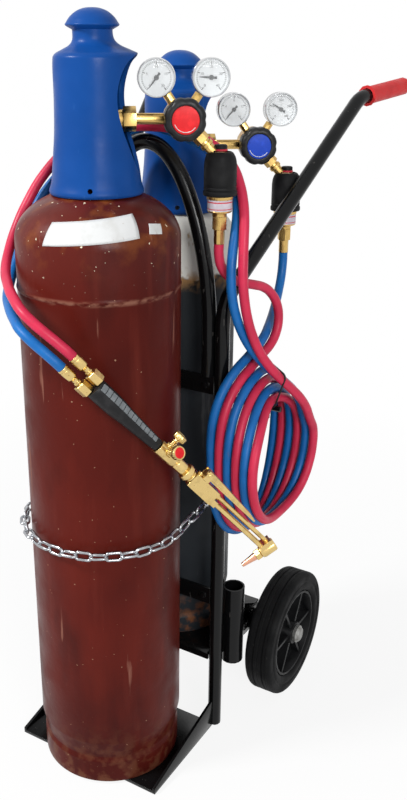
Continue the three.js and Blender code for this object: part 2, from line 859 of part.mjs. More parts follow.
function makeRegulator(name, holder) {
  const nutStart = outletLength + weldGap;
  const nut = rod(unionNutRadius, [nutStart, 0, 0], [nutStart + unionNutLength, 0, 0], 6);
  const stem = rod(stemRadius, [nutStart + bite, 0, 0], [regulatorReach - regulatorRadius / 2, 0, 0]);
  const bodyFront = [regulatorReach, -bonnetFront, 0];
  const body = rod(regulatorRadius, bodyFront, [regulatorReach, regulatorDepth, 0], roundSides);
  const nose = rod(noseRadius, [regulatorReach, 0, 0], [regulatorReach, -bonnetFront - noseLength, 0]);
  const reach = gaugeDistance - gaugeRadius - weldGap;
  const stubs = [-1, 1].map((side) => rod(stubRadius, [regulatorReach, 0, 0], [
    regulatorReach + side * gaugeSide * reach / gaugeDistance, 0, gaugeRise * reach / gaugeDistance,
  ], 8));
  const coreX = regulatorReach + arrestorSide;
  const coreTop = -bootTop + bite + weldGap;
  const core = rod(clearHole(arrestorCore + weldGap, smallSides), [coreX, 0, -bootBottom], [coreX, 0, coreTop]);
  const headTop = -arrestorTop + weldGap;
  const head = rod(clearHole(arrestorHead + weldGap, smallSides), [coreX, 0, -bootTop], [coreX, 0, headTop]);
  const outlet = cut(outletRod(stemRadius, 0, outletDistance), core, head);
  add(`${name}_regulator`, join(nut, stem, body, nose, ...stubs, outlet), brass, holder);
}

function makeRegulatorKnob(name, holder) {
  const back = -bonnetFront - noseLength - runGap;
  const front = back - knobDepth;
  const profile = [
    [0, back], [knobRadius - knobBevel, back], [knobRadius, back - knobBevel],
    [knobRadius, front + knobBevel], [knobRadius - knobBevel, front],
    [knobFace, front], [knobFace, front + knobRecess], [0, front + knobRecess],
  ];
  const knob = turned(profile, roundSides).translate(regulatorReach, 0, 0);
  add(`${name}_regulator_knob`, knob, blackPlastic, holder);
}

// Gauge case: a cup with its dial set back behind the rim, and a needle on the dial
function makeGauge(name, side, holder, reading) {
  const x = regulatorReach + side * gaugeSide;
  const dial = -gaugeFront + dialDepth;
  const profile = [
    [0, gaugeBack], [gaugeRadius - gaugeBevel, gaugeBack], [gaugeRadius, gaugeBack - gaugeBevel],
    [gaugeRadius, -gaugeFront],
    [gaugeRadius - gaugeRim, -gaugeFront], [gaugeRadius - gaugeRim, dial], [0, dial],
  ];
  add(name, turned(profile, roundSides).translate(x, 0, gaugeRise), gaugeWhite, holder);
  const face = dial - runGap;
  const arm = box(
    [-needleWidth / 2, face - needleThickness, -needleTail],
    [needleWidth / 2, face, needleLength],
  );
  const hub = rod(needleHub, [0, face, 0], [0, face - 1.4 * needleThickness, 0], 6);
  const turn = dialZero + THREE.MathUtils.degToRad(reading);
  const needle = join(arm, hub).rotateY(turn).translate(x, 0, gaugeRise);
  add(`${name}_needle`, needle, blackPlastic, holder);
}

function makeArrestor(name, holder) {
  const x = regulatorReach + arrestorSide;
  const core = [
    [0, -arrestorBottom], [arrestorStub, -arrestorBottom], [arrestorStub, -bandBottom - bite],
    [bandRadius - bandBevel, -bandBottom], [bandRadius, -bandBottom + bandBevel],
    [bandRadius, -bootBottom - weldGap],
    [arrestorCore, -bootBottom - weldGap], [arrestorCore, -bootTop + bite], [arrestorHead, -bootTop + bite],
    [arrestorHead, -arrestorTop], [0, -arrestorTop],
  ];
  add(`${name}_arrestor`, turnedZ(core, smallSides).translate(x, 0, 0), brass, holder);
  const bore = clearHole(arrestorCore + weldGap, 14);
  const skin = [
    [bore, -bootBottom], [bootRadius + bootBead, -bootBottom],
    [bootRadius + bootBead, -bootBottom + bootBeadHeight],
    [bootRadius, -bootBottom + bootBeadHeight + bootBead], [bootRadius, -bootTop - bootShoulder],
    [bootRadius - bootRound, -bootTop - bootShoulder / 2], [bootRadius - bootTaper, -bootTop],
    [bore, -bootTop],
    [bore, -bootBottom],
  ];
  const clearance = outletRod(stemRadius + weldGap, 0, outletDistance);
  add(`${name}_arrestor_boot`, cut(turnedZ(skin, 14).translate(x, 0, 0), clearance), rubber, holder);
  const nutTop = -arrestorBottom - weldGap;
  const ferruleTop = nutTop - nutLength;
  const nut = rod(nutRadius, [x, 0, nutTop], [x, 0, ferruleTop], nutSides);
  const ferruleEnd = [x, 0, ferruleTop - ferruleLength];
  const ferrule = rod(hoseRadius + ferruleWall, [x, 0, ferruleTop + bite], ferruleEnd, ferruleSides);
  add(`${name}_hose_tail`, join(nut, ferrule), brass, holder);
}

const tailBottom = arrestorBottom + weldGap + nutLength + ferruleLength;

function makeGasSet(name, axisY, footZ, neckTop, readings) {
  const upright = placed(0, axisY, 0, valveTurn);
  const outletZ = footZ + outletRise;
  makeValve(name, upright, neckTop, outletZ);
  makeHandwheel(name, upright, outletZ);
  makeCap(name, placed(0, axisY, footZ, capTurn));
  const level = placed(0, axisY, outletZ, valveTurn);
  makeRegulator(name, level);
  makeRegulatorKnob(name, level);
  makeGauge(`${name}_gauge_outlet`, -1, level, readings[0]);
  makeGauge(`${name}_gauge_bottle`, 1, level, readings[1]);
  makeArrestor(name, level);
}

// Chain: welded-wire links, each a flat oval turned a quarter against the next, slung between the pegs
function linkShape() {
  const bend = (linkWidth - 2 * chainWire) / 2;
  const straight = linkInside / 2 + chainWire - bend;
  const points = [];
  for (const end of [1, -1]) {
    for (let i = 0; i <= linkBendSteps; i += 1) {
      const angle = linkBend * (2 * i / linkBendSteps - 1);
      points.push(new THREE.Vector2(end * (straight + bend * Math.cos(angle)), end * bend * Math.sin(angle)));
    }
  }
  const corners = [];
  const faces = [];
  points.forEach((point, i) => {
    const before = points[(i + points.length - 1) % points.length];
    const after = points[(i + 1) % points.length];
    const out = new THREE.Vector2(after.y - before.y, before.x - after.x).normalize();
    for (let k = 0; k < chainSides; k += 1) {
      const angle = (k + 0.5) * 2 * Math.PI / chainSides;
      const wide = chainWire * Math.cos(angle);
      corners.push(point.x + out.x * wide, point.y + out.y * wide, chainWire * Math.sin(angle));
      const here = i * chainSides + k;
      const beside = i * chainSides + (k + 1) % chainSides;
      const next = (i + 1) % points.length * chainSides;
      faces.push(here, beside, next + k, beside, next + (k + 1) % chainSides, next + k);
    }
  });
  const link = new THREE.BufferGeometry();
  link.setAttribute('position', new THREE.Float32BufferAttribute(corners, 3));
  link.setIndex(faces);
  return link;
}

function chainPlaces() {
  const ring = frontRadius + seamBead + chainGap + linkWidth / 2;
  const pegX = uprightX;
  const pegY = uprightY - tubeRadius - pegLength - frontAxisY;
  const away = Math.hypot(pegX, pegY);
  const touch = Math.atan2(pegY, pegX) - Math.acos(ring / away);
  const run = Math.sqrt(away * away - ring * ring);
  const sweep = Math.PI + 2 * touch;
  const whole = 2 * run + sweep * ring;
  const linkPitch = linkInside + 2 * chainWire * (1 - Math.cos(Math.PI / chainSides)) + linkBite;
  const endSeat = linkInside / 2 - pegRadius - runGap;
  const spans = 2 * Math.floor((whole - 2 * endSeat) / (2 * linkPitch));
  const along = [-Math.sin(touch), Math.cos(touch)];
  const places = [];
  for (let i = 0; i <= spans; i += 1) {
    const far = endSeat + (whole - 2 * endSeat) * i / spans;
    const free = (run - Math.min(far, whole - far)) / (run - endSeat);
    const rise = chainRise * Math.max(0, free);
    let x;
    let y;
    let heading;
    if (far < run) {
      const left = run - far;
      x = ring * Math.cos(touch) + along[0] * left;
      y = ring * Math.sin(touch) + along[1] * left;
      heading = Math.atan2(along[1], along[0]);
    } else if (far < whole - run) {
      const angle = touch - (far - run) / ring;
      x = ring * Math.cos(angle);
      y = ring * Math.sin(angle);
      heading = angle + Math.PI / 2;
    } else {
      const left = far - (whole - run);
      x = -ring * Math.cos(touch) - along[0] * left;
      y = ring * Math.sin(touch) + along[1] * left;
      heading = Math.atan2(along[1], -along[0]);
    }
    const tilt = free > 0 ? Math.atan2(chainRise, run - endSeat) : 0;
    places.push({ x, y: y + frontAxisY, z: chainHeight + rise, heading, tilt, onEdge: i % 2 === 1 });
  }
  return places;
}

function makeChain() {
  const links = chainPlaces().map(({ x, y, z, heading, tilt, onEdge }) => {
    const link = linkShape();
    if (onEdge) link.rotateX(Math.PI / 2);
    return link.rotateY(-tilt).rotateZ(heading).translate(x, y, z);
  });
  add('chain', join(...links), steel);
}

// Hoses: a twin coil on the hook, a feed down from each arrestor and a lead up over the arch to the torch
const coilX = uprightX + tubeRadius + coilGap + coilTurns * hoseSpacing * Math.cos(coilLean);
const coilY = uprightY + coilBehind;

// The turns lie side by side, and gather into a steeper stack at the top and the bottom; side is 1 red, -1 blue
function coilPoint(side, turn) {
  const rise = Math.cos(turn);
  const gather = (rise > 0 ? topGather : bottomGather) * rise * rise;
  const offset = (turn / Math.PI - coilTurns + side / 2) * hoseSpacing;
  const across = offset * Math.cos(gather);
  const inward = offset * Math.sin(gather);
  return new THREE.Vector3(
    coilX + across * Math.cos(coilLean),
    coilY - across * Math.sin(coilLean) - (coilHalfDepth - inward) * Math.sin(turn),
    coilZ + (coilHalfHeight - inward) * rise,
  );
}

function coilPath(side) {
  const count = Math.round((coilEnd - coilStart) / (2 * Math.PI) * loopSteps);
  const points = [];
  for (let i = 0; i <= count; i += 1) {
    points.push(coilPoint(side, coilStart + (coilEnd - coilStart) * i / count));
  }
  const inward = points[1].clone().sub(points[0]).normalize();
  const outward = points[count].clone().sub(points[count - 1]).normalize();
  const first = points[0].clone().addScaledVector(inward, -hoseLead);
  const last = points[count].clone().addScaledVector(outward, hoseLead);
  return { points: [first, ...points, last], inward, outward, first, last };
}

// Least gap between points of two paths, or of one path against itself a loop's part away
function leastGap(first, second, apart) {
  let least = Infinity;
  first.forEach((point, i) => second.forEach((other, k) => {
    if (apart && Math.abs(i - k) < apart) return;
    least = Math.min(least, point.distanceTo(other));
  }));
  return least - 2 * hoseRadius;
}

function tailPoint(axisY, footZ) {
  const out = regulatorReach + arrestorSide;
  const z = footZ + outletRise - tailBottom - weldGap;
  return new THREE.Vector3(out * Math.cos(valveTurn), axisY + out * Math.sin(valveTurn), z);
}

const torch = placed(0, 0, torchHeight);
torch.rotation.set(0, torchDive, torchHeading, 'ZYX');
const torchOut = frontRadius + torchStandoff;
torch.position.x = torchOut * Math.sin(torchHeading) - torchBack * Math.cos(torchHeading);
torch.position.y = frontAxisY - torchOut * Math.cos(torchHeading) - torchBack * Math.sin(torchHeading);
torch.updateMatrixWorld();

function torchPoint(along, across, up) {
  return new THREE.Vector3(along, across, up).applyMatrix4(torch.matrixWorld);
}

const tailStart = -weldGap - tailNut - tailStem - tailFerrule;

// A free stretch keeps straight for a diameter at each end and passes through its chosen points
function stretch(name, start, startWay, chosen, end, endWay, steps, look) {
  const points = [
    start.clone().addScaledVector(startWay, hoseLead),
    ...chosen.map((point) => new THREE.Vector3(...point)),
    end.clone().addScaledVector(endWay, -hoseLead),
  ];
  const curve = new THREE.CatmullRomCurve3(points, false, 'catmullrom', 0.5);
  const route = [start, ...curve.getSpacedPoints(steps), end];
  console.log(`${name} runs ${Math.round(curve.getLength() + 2 * hoseLead)} mm`);
  add(name, tube(route, hoseRadius, hoseSides), look);
}

const redFeedPoints = [
  [121.6, 79.5, 723.5], [128, 92, 709.2], [136.2, 108.5, 700.6], [143.3, 126.6, 695], [148.6, 144.7, 688.7],
  [152.9, 160.4, 677.5], [157.4, 170.4, 660.8], [159.8, 172.6, 641.1], [160, 166.3, 622.3], [158.1, 152.7, 607.8],
];
const blueFeedPoints = [
  [120.3, 261.6, 676.3], [123.1, 249.2, 659.1], [127.6, 232.4, 646.6], [133, 213.7, 637.6], [138.6, 194.1, 630.9],
  [144, 174.1, 625.2], [148.5, 154, 619],
];
const redLeadPoints = [
  [206.8, 151.7, 541.2], [199.7, 134.9, 559.1], [190.6, 118.7, 576.8], [181.3, 104.1, 595.7], [173, 91.8, 616.6],
  [166.7, 82.3, 639.4], [161.7, 75.9, 663.6], [158, 72.7, 688.8], [155.3, 72.5, 714.3], [153.2, 75.3, 739.7],
  [150.5, 81, 764.5], [146.2, 88.8, 788.5], [140.6, 95.7, 806], [132, 102.5, 825],
  [117, 109, 847], [94, 108, 868],
  [68, 100, 882], [40, 89, 890], [12, 78, 892],
  [-18, 66, 890], [-47, 48, 881], [-73, 24, 864], [-91, -2, 836],
  [-102, -26, 802], [-107, -47, 769], [-100.5, -69, 746],
  [-84.5, -94, 732], [-58.5, -121, 723], [-29, -145, 714], [1, -159.5, 701],
];
const blueLeadPoints = [
  [194.1, 159.6, 545.3], [187, 142, 563.5], [177.9, 124.3, 580.8], [168.4, 107.8, 598.9], [159.7, 93.3, 619.1],
  [152.3, 81.6, 641.4], [146.6, 73.2, 665.7], [142.5, 69, 691.4], [139.8, 69.8, 717.5], [137.9, 75.6, 743.1],
  [135.6, 85.6, 767.3], [131.4, 97.9, 790.1], [125.6, 107.5, 807], [117, 115.5, 824],
  [102, 121, 843], [80, 121, 861], [56, 114, 874], [32, 104.5, 884],
  [10, 93.5, 890.5], [-16, 81, 886], [-42, 65, 874], [-66, 43, 857],
  [-86, 20, 832], [-101, -3, 802], [-110.5, -24, 768],
  [-108.5, -43, 737], [-100, -68, 713], [-83, -95, 701], [-57.5, -122, 695], [-29, -146, 689], [-4, -161, 681],
];

function makeHoses() {
  const red = coilPath(1);
  const blue = coilPath(-1);
  const apart = Math.round(loopSteps / 2);
  const own = Math.min(leastGap(red.points, red.points, apart), leastGap(blue.points, blue.points, apart));
  const between = leastGap(red.points, blue.points, 0);
  console.log(`coil least gap to itself ${own.toFixed(2)} mm, red to blue ${between.toFixed(2)} mm`);
  add('red_hose_coil', tube(red.points, hoseRadius, loopSides), hoseRed);
  add('blue_hose_coil', tube(blue.points, hoseRadius, loopSides), hoseBlue);
  const down = new THREE.Vector3(0, 0, -1);
  const dive = torchPoint(1, 0, 0).sub(torchPoint(0, 0, 0));
  const joined = (end, way, sign) => end.clone().addScaledVector(way, sign * weldGap);
  const feedEnds = [joined(red.first, red.inward, -1), joined(blue.first, blue.inward, -1)];
  const leadStarts = [joined(red.last, red.outward, 1), joined(blue.last, blue.outward, 1)];
  const tails = [tailSpacing, -tailSpacing].map((up) => torchPoint(tailStart - weldGap, 0, up));
  const starts = [tailPoint(frontAxisY, frontCapFoot), tailPoint(rearAxisY, rearCapFoot)];
  stretch('red_hose_feed', starts[0], down, redFeedPoints, feedEnds[0], red.inward, redFeedSteps, hoseRed);
  stretch('blue_hose_feed', starts[1], down, blueFeedPoints, feedEnds[1], blue.inward, blueFeedSteps, hoseBlue);
  stretch('red_hose_lead', leadStarts[0], red.outward, redLeadPoints, tails[0], dive, leadSteps, hoseRed);
  stretch('blue_hose_lead', leadStarts[1], blue.outward, blueLeadPoints, tails[1], dive, leadSteps, hoseBlue);
}

// Hose hook: a bent rod on the back of the right upright, under the lowest strand at the top of the coil
function makeHoseHook() {
  const lowest = coilPoint(1, (coilTurns - 1) * 2 * Math.PI);
  const z = lowest.z - hoseRadius - hookRadius - runGap;
  const corners = [
    new THREE.Vector3(uprightX, uprightY + tubeRadius + weldGap, z),
    new THREE.Vector3(uprightX, lowest.y, z),
    new THREE.Vector3(lowest.x + hoseSpacing, lowest.y, z),
  ];
  add('hose_hook', tube(bentPath(corners, [2 * hookRadius]), hookRadius, 8), blackPaint);
}

// Torch, built along its own X axis with Z up between the hose tails, from the grip's rear face
function makeTorch() {
  [['red', 1], ['blue', -1]].forEach(([name, side]) => {
    const z = side * tailSpacing;
    const nut = rod(tailNutRadius, [-weldGap - tailNut, 0, z], [-weldGap, 0, z], nutSides);
    const ferruleEnd = tailStart + tailFerrule;
    const stem = rod(tailStemRadius, [ferruleEnd - bite, 0, z], [bite - weldGap - tailNut, 0, z], nutSides);
    const ferrule = rod(hoseRadius + ferruleWall, [tailStart, 0, z], [ferruleEnd, 0, z], ferruleSides);
    add(`torch_${name}_tail`, join(nut, stem, ferrule), brass, torch);
  });
  const grip = torchHandleRadius;
  const handle = [
    [0, 0], [grip + handleSwell - bite, 0],
    [grip + handleSwell, handleBevel], [grip + handleSwell, torchHandleLength / 4],
    [grip, torchHandleLength / 2], [grip - handleSwell + bite, torchHandleLength - handleBevel],
    [grip - handleSwell, torchHandleLength], [0, torchHandleLength],
  ];
  add('torch_handle', turnedX(handle, smallSides), blackPlastic, torch);

  const blockStart = torchHandleLength + weldGap;
  const blockEnd = blockStart + blockLength;
  const barrelEnd = blockEnd + barrelLength;
  const couplingEnd = barrelEnd + couplingLength;
  const oxygenX = blockStart + oxygenKnobAt;
  const fuelX = blockStart + fuelKnobAt;
  const bossEnd = blockRadius + bossReach;
  const rolledEnd = [-bossEnd * Math.cos(fuelKnobRoll), bossEnd * Math.sin(fuelKnobRoll)];
  add('torch_valve_block', join(
    rod(blockRadius, [blockStart, 0, 0], [blockEnd, 0, 0]),
    rod(bossRadius, [oxygenX, 0, 0], [oxygenX, 0, bossEnd], nutSides),
    rod(bossRadius, [fuelX, 0, 0], [fuelX, ...rolledEnd], nutSides),
    rod(barrelRadius, [blockEnd - bite, 0, 0], [barrelEnd, 0, 0], tapSides),
    rod(couplingRadius, [barrelEnd - bite, 0, 0], [couplingEnd, 0, 0], tapSides),
  ), brass, torch);

  const knob = [
    [0, 0], [knobStemRadius, 0], [knobStemRadius, knobStem], [torchKnobRadius - bite, knobStem],
    [torchKnobRadius, knobStem + bite], [torchKnobRadius, knobStem + torchKnobDepth - bite],
    [torchKnobRadius - bite, knobStem + torchKnobDepth], [0, knobStem + torchKnobDepth],
  ];
  const seat = bossEnd + runGap;
  add('torch_oxygen_knob', turnedZ(knob, tapSides).translate(oxygenX, 0, seat), brass, torch);
  const fuel = turned(knob, tapSides).rotateZ(Math.PI).translate(0, -seat, 0).rotateX(-fuelKnobRoll);
  add('torch_fuel_knob', fuel.translate(fuelX, 0, 0), brass, torch);

  const bodyStart = couplingEnd + weldGap;
  const bodyEnd = bodyStart + attachmentLength;
  const body = box([bodyStart, -attachmentHalf, -attachmentBottom], [bodyEnd, attachmentHalf, attachmentTop]);
  const pivotX = bodyStart + leverPivot;
  const pivotZ = attachmentTop + leverLift;
  const earTop = pivotZ + earHalf;
  const ears = [-1, 1].map((side) => {
    const inner = side * (leverHalf + runGap);
    const outer = side * (leverHalf + runGap + earThickness);
    return box(
      [pivotX - earHalf, Math.min(inner, outer), attachmentTop - bite],
      [pivotX + earHalf, Math.max(inner, outer), earTop],
    );
  });
  const pinEnd = leverHalf + runGap + earThickness;
  const pin = rod(leverPin, [pivotX, -pinEnd, pivotZ], [pivotX, pinEnd, pivotZ], 10);
  const headX = bodyEnd + torchTubeLength;
  const tubePlaces = [[0, tubeSpread], [-tubeSpread, -tubeDrop], [tubeSpread, -tubeDrop]];
  const tubes = tubePlaces.map(([y, z]) => rod(torchTube, [bodyEnd - bite, y, z], [headX, y, z], nutSides));
  const headEnds = [-headBottom, headTop].map((way) => {
    return [headX + way * Math.sin(headLean), 0, way * Math.cos(headLean)];
  });
  const head = rod(headRadius, ...headEnds, tapSides);
  add('cutting_attachment', join(body, ...ears, pin, ...tubes, head), brass, torch);

  const nozzleTop = -headBottom - weldGap;
  const nozzle = [
    [0, nozzleTop - nozzleLength], [nozzleTip, nozzleTop - nozzleLength],
    [nozzleRadius, nozzleTop - nozzleNut - nozzleTip], [nozzleRadius, nozzleTop - nozzleNut],
    [nozzleNutRadius, nozzleTop - nozzleNut], [nozzleNutRadius, nozzleTop], [0, nozzleTop],
  ];
  add('cutting_nozzle', turnedZ(nozzle, nozzleSides).rotateY(headLean).translate(headX, 0, 0), copper, torch);

  const eye = leverPin + leverThickness;
  const outline = new THREE.Shape([
    [-eye, -eye / 2], [-eye, eye / 2], [-eye / 2, eye], [eye, eye],
    [leverLength - leverTip, leverEnd - leverFall], [leverLength, leverEnd / 2 - leverFall],
    [leverLength, -leverFall], [eye / 2, -eye], [-eye / 2, -eye],
  ].map(([x, z]) => new THREE.Vector2(x, z)));
  outline.holes.push(new THREE.Path(polygon(clearHole(leverPin + weldGap, 10), 10)));
  const lever = new THREE.ExtrudeGeometry(outline, { depth: 2 * leverHalf, bevelEnabled: false });
  add('cutting_lever', lever.rotateX(Math.PI / 2).translate(pivotX, leverHalf, pivotZ), brass, torch);
}

makeTray();
for (const [name, side] of sides) {
  makeUpright(name, side);
  makeGrip(name, side);
  makeTyre(name, side);
  makeHub(name, side);
  makeAxleCap(name, side);
}
makeArch();
makeCrossbar('upper_crossbar', upperBarTop);
makeCrossbar('lower_crossbar', lowerBarTop);
makeShelf();
makeRodHolder();
makeAxle();
add('front_bottle', turnedZ(bottleProfile({
  radius: frontRadius, base: frontBase, shoulder: frontShoulder, dome: frontDome, foot: frontFootHeight,
  footInset: frontFootInset, waistInset: frontWaistInset, seam: frontSeam,
}), bottleSegments), brownPaint, placed(0, frontAxisY, 0));
add('rear_bottle', turnedZ(bottleProfile({
  radius: rearRadius, base: rearBase, shoulder: rearShoulder, dome: rearDome, foot: rearFootHeight,
  footInset: rearFootInset, waistInset: rearWaistInset,
}), bottleSegments), greyPaint, placed(0, rearAxisY, 0));
const frontNeckTop = neckTopOf(frontRadius, frontShoulder, frontDome);
const rearNeckTop = neckTopOf(rearRadius, rearShoulder, rearDome);
makeGasSet('front', frontAxisY, frontCapFoot, frontNeckTop, frontReadings);
makeGasSet('rear', rearAxisY, rearCapFoot, rearNeckTop, rearReadings);
makeChain();
makeHoses();
makeHoseHook();
makeTorch();

export default group;
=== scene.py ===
"""Looks of the loaded two-bottle welding cart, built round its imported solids. Metres, +Z up, floor at zero."""

import math

import bmesh
import bpy
from mathutils import Matrix, Vector
from mathutils.geometry import interpolate_bezier


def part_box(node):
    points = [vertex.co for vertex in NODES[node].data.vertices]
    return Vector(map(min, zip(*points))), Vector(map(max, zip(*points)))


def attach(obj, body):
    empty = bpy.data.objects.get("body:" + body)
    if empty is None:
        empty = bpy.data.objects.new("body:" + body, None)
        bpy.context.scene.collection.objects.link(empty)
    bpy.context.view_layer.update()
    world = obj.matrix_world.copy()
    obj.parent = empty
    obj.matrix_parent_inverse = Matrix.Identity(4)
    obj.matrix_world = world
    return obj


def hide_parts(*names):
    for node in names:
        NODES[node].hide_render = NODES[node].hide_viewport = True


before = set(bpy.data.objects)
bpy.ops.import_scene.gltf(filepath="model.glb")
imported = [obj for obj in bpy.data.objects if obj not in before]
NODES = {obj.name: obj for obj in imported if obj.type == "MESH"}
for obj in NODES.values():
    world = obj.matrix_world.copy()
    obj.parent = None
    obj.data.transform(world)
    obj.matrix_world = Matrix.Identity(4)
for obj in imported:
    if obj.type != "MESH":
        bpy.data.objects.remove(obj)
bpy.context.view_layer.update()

# Camera that took the picture
CAMERA_PLACE = (0.65631, -0.90944, 0.98529)
CAMERA_YAW = 31.73
CAMERA_PITCH = 21.01
CAMERA_LENS = 40.63
CAMERA_SHIFT = (0.0413, -0.0085)

# Light
WORLD_LIGHT = 0.38
FLOOR_GLOW = 0.88
FLOOR_NEAR = 0.5
FLOOR_FAR = 1.5

# Arch tube
TUBE_RADIUS = 0.010
ARCH_LEG = 0.0967
ARCH_DEPTH = 0.0928
ARCH_FOOT = 0.5713
ARCH_SHOULDER = 0.640
ARCH_RISE = 0.100
ARCH_CROWN = 0.058
ARCH_TOP = 0.872

# Mesh making
TINY = 1e-6
SHARP = math.radians(34)
FACING = Matrix.Rotation(math.pi / 2, 4, "X")
ALONG_X = Matrix.Rotation(math.pi / 2, 4, "Y")

# Bottles, caps and what stands on them; each bottle's axis lies on the cart's middle plane
AXIS = {"front": -0.0168, "rear": 0.1758}
CAP_FOOT = {"front": 0.820738, "rear": 0.775196}
OUTLET_RISE = 0.085
VALVE_TURN = Matrix.Rotation(0.65, 4, "Z")
CAP_TURN = Matrix.Rotation(0.49, 4, "Z")
VALVE_STEM = 0.012
FRONT_RADIUS = 0.102
FRONT_SHOULDER = 0.767
FRONT_DOME = 0.062
WAIST_DEPTH = 0.002
FOOT_DISH = 0.004
SEAM_BEAD = 0.001
SEAM_HALF = 0.004
FILM = 0.0005
PATCH_ROWS = 8
PATCH_COLUMNS = 24
LABEL_CORNERS = ((-92.5, 0.773), (-25.5, 0.7815), (-23.5, 0.8065), (-89.5, 0.7985))
STICKER_CORNERS = ((-17, 0.7845), (-5.5, 0.782), (-2.5, 0.7925), (-14, 0.795))
CAP_LIP = 0.009
CAP_LIP_RISE = 0.156
CAP_LIP_SPREAD = 0.013

# Regulators and arrestors, measured from the bottle's axis along its valve outlet
REGULATOR_X = 0.104
GAUGE_SIDE = 0.032
GAUGE_RISE = 0.046
DIAL_FACE = 0.0091
POINTER_RISE = (0.0096, 0.0103)
DIAL_START = math.radians(-140)
DIAL_END = math.radians(140)
TICKS = 40
TICKS_PER_NUMBER = 10
KNOB_FACE = 0.0163
KNOB_LOBES = 8
ARRESTOR_X = 0.15
OUTLET_DROP = 0.048
OUTLET_TURN = Matrix.Rotation(math.atan2(ARRESTOR_X - REGULATOR_X, -OUTLET_DROP), 4, "Y")
KNURL_TEETH = 48

# Wheels
WHEEL_X = 0.164
WHEEL_Y = 0.2378
WHEEL_RADIUS = 0.1

# Chain
CHAIN_RING = 0.11075
CHAIN_PEG = (0.117, 0.0876)
CHAIN_SEAT = 0.0062
CHAIN_HEIGHT = 0.381
CHAIN_RISE = 0.018
CHAIN_LINKS = 27
LINK_INSIDE = 0.0178
LINK_WIDTH = 0.0145
LINK_WIRE = 0.002

# Hoses
HOSE_RADIUS = 0.0063
HOSE_LEAD = 2 * HOSE_RADIUS
GAP = 0.0003
HOSE_SPACING = 2 * HOSE_RADIUS + 0.0012
COIL_TURNS = 3
COIL_HALF_DEPTH = 0.083
COIL_HALF_HEIGHT = 0.1015
COIL_LEAN = math.radians(10)
TOP_GATHER = math.radians(62)
BOTTOM_GATHER = math.radians(36)
COIL_CENTRE = (0.1275 + COIL_TURNS * HOSE_SPACING * math.cos(COIL_LEAN), 0.1253, 0.458)
COIL_START = math.radians(8)
COIL_SWEEP = COIL_TURNS * 2 * math.pi - math.radians(62) - COIL_START
COIL_COUNT = round(COIL_SWEEP / (2 * math.pi) * 24)
RED_FEED_POINTS = [
    (0.1216, 0.0795, 0.7235), (0.128, 0.092, 0.7092), (0.1362, 0.1085, 0.7006), (0.1433, 0.1266, 0.695),
    (0.1486, 0.1447, 0.6887), (0.1529, 0.1604, 0.6775), (0.1574, 0.1704, 0.6608), (0.1598, 0.1726, 0.6411),
    (0.16, 0.1663, 0.6223), (0.1581, 0.1527, 0.6078),
]
BLUE_FEED_POINTS = [
    (0.1203, 0.2616, 0.6763), (0.1231, 0.2492, 0.6591), (0.1276, 0.2324, 0.6466), (0.133, 0.2137, 0.6376),
    (0.1386, 0.1941, 0.6309), (0.144, 0.1741, 0.6252), (0.1485, 0.154, 0.619),
]
RED_LEAD_POINTS = [
    (0.2068, 0.1517, 0.5412), (0.1997, 0.1349, 0.5591), (0.1906, 0.1187, 0.5768), (0.1813, 0.1041, 0.5957),
    (0.173, 0.0918, 0.6166), (0.1667, 0.0823, 0.6394), (0.1617, 0.0759, 0.6636), (0.158, 0.0727, 0.6888),
    (0.1553, 0.0725, 0.7143), (0.1532, 0.0753, 0.7397), (0.1505, 0.081, 0.7645), (0.1462, 0.0888, 0.7885),
    (0.1406, 0.0957, 0.806), (0.132, 0.1025, 0.825), (0.117, 0.109, 0.847), (0.094, 0.108, 0.868),
    (0.068, 0.1, 0.882), (0.04, 0.089, 0.89), (0.012, 0.078, 0.892), (-0.018, 0.066, 0.89),
    (-0.047, 0.048, 0.881), (-0.073, 0.024, 0.864), (-0.091, -0.002, 0.836), (-0.102, -0.026, 0.802),
    (-0.107, -0.047, 0.769), (-0.1005, -0.069, 0.746), (-0.0845, -0.094, 0.732), (-0.0585, -0.121, 0.723),
    (-0.029, -0.145, 0.714), (0.001, -0.1595, 0.701),
]
BLUE_LEAD_POINTS = [
    (0.1941, 0.1596, 0.5453), (0.187, 0.142, 0.5635), (0.1779, 0.1243, 0.5808), (0.1684, 0.1078, 0.5989),
    (0.1597, 0.0933, 0.6191), (0.1523, 0.0816, 0.6414), (0.1466, 0.0732, 0.6657), (0.1425, 0.069, 0.6914),
    (0.1398, 0.0698, 0.7175), (0.1379, 0.0756, 0.7431), (0.1356, 0.0856, 0.7673), (0.1314, 0.0979, 0.7901),
    (0.1256, 0.1075, 0.807), (0.117, 0.1155, 0.824), (0.102, 0.121, 0.843), (0.08, 0.121, 0.861),
    (0.056, 0.114, 0.874), (0.032, 0.1045, 0.884), (0.01, 0.0935, 0.8905), (-0.016, 0.081, 0.886),
    (-0.042, 0.065, 0.874), (-0.066, 0.043, 0.857), (-0.086, 0.02, 0.832), (-0.101, -0.003, 0.802),
    (-0.1105, -0.024, 0.768), (-0.1085, -0.043, 0.737), (-0.1, -0.068, 0.713), (-0.083, -0.095, 0.701),
    (-0.0575, -0.122, 0.695), (-0.029, -0.146, 0.689), (-0.004, -0.161, 0.681),
]
TIE_PLANE = 0.118
TIE_HEIGHTS = (0.53, 0.595)
TIE_WIRE = 0.0013

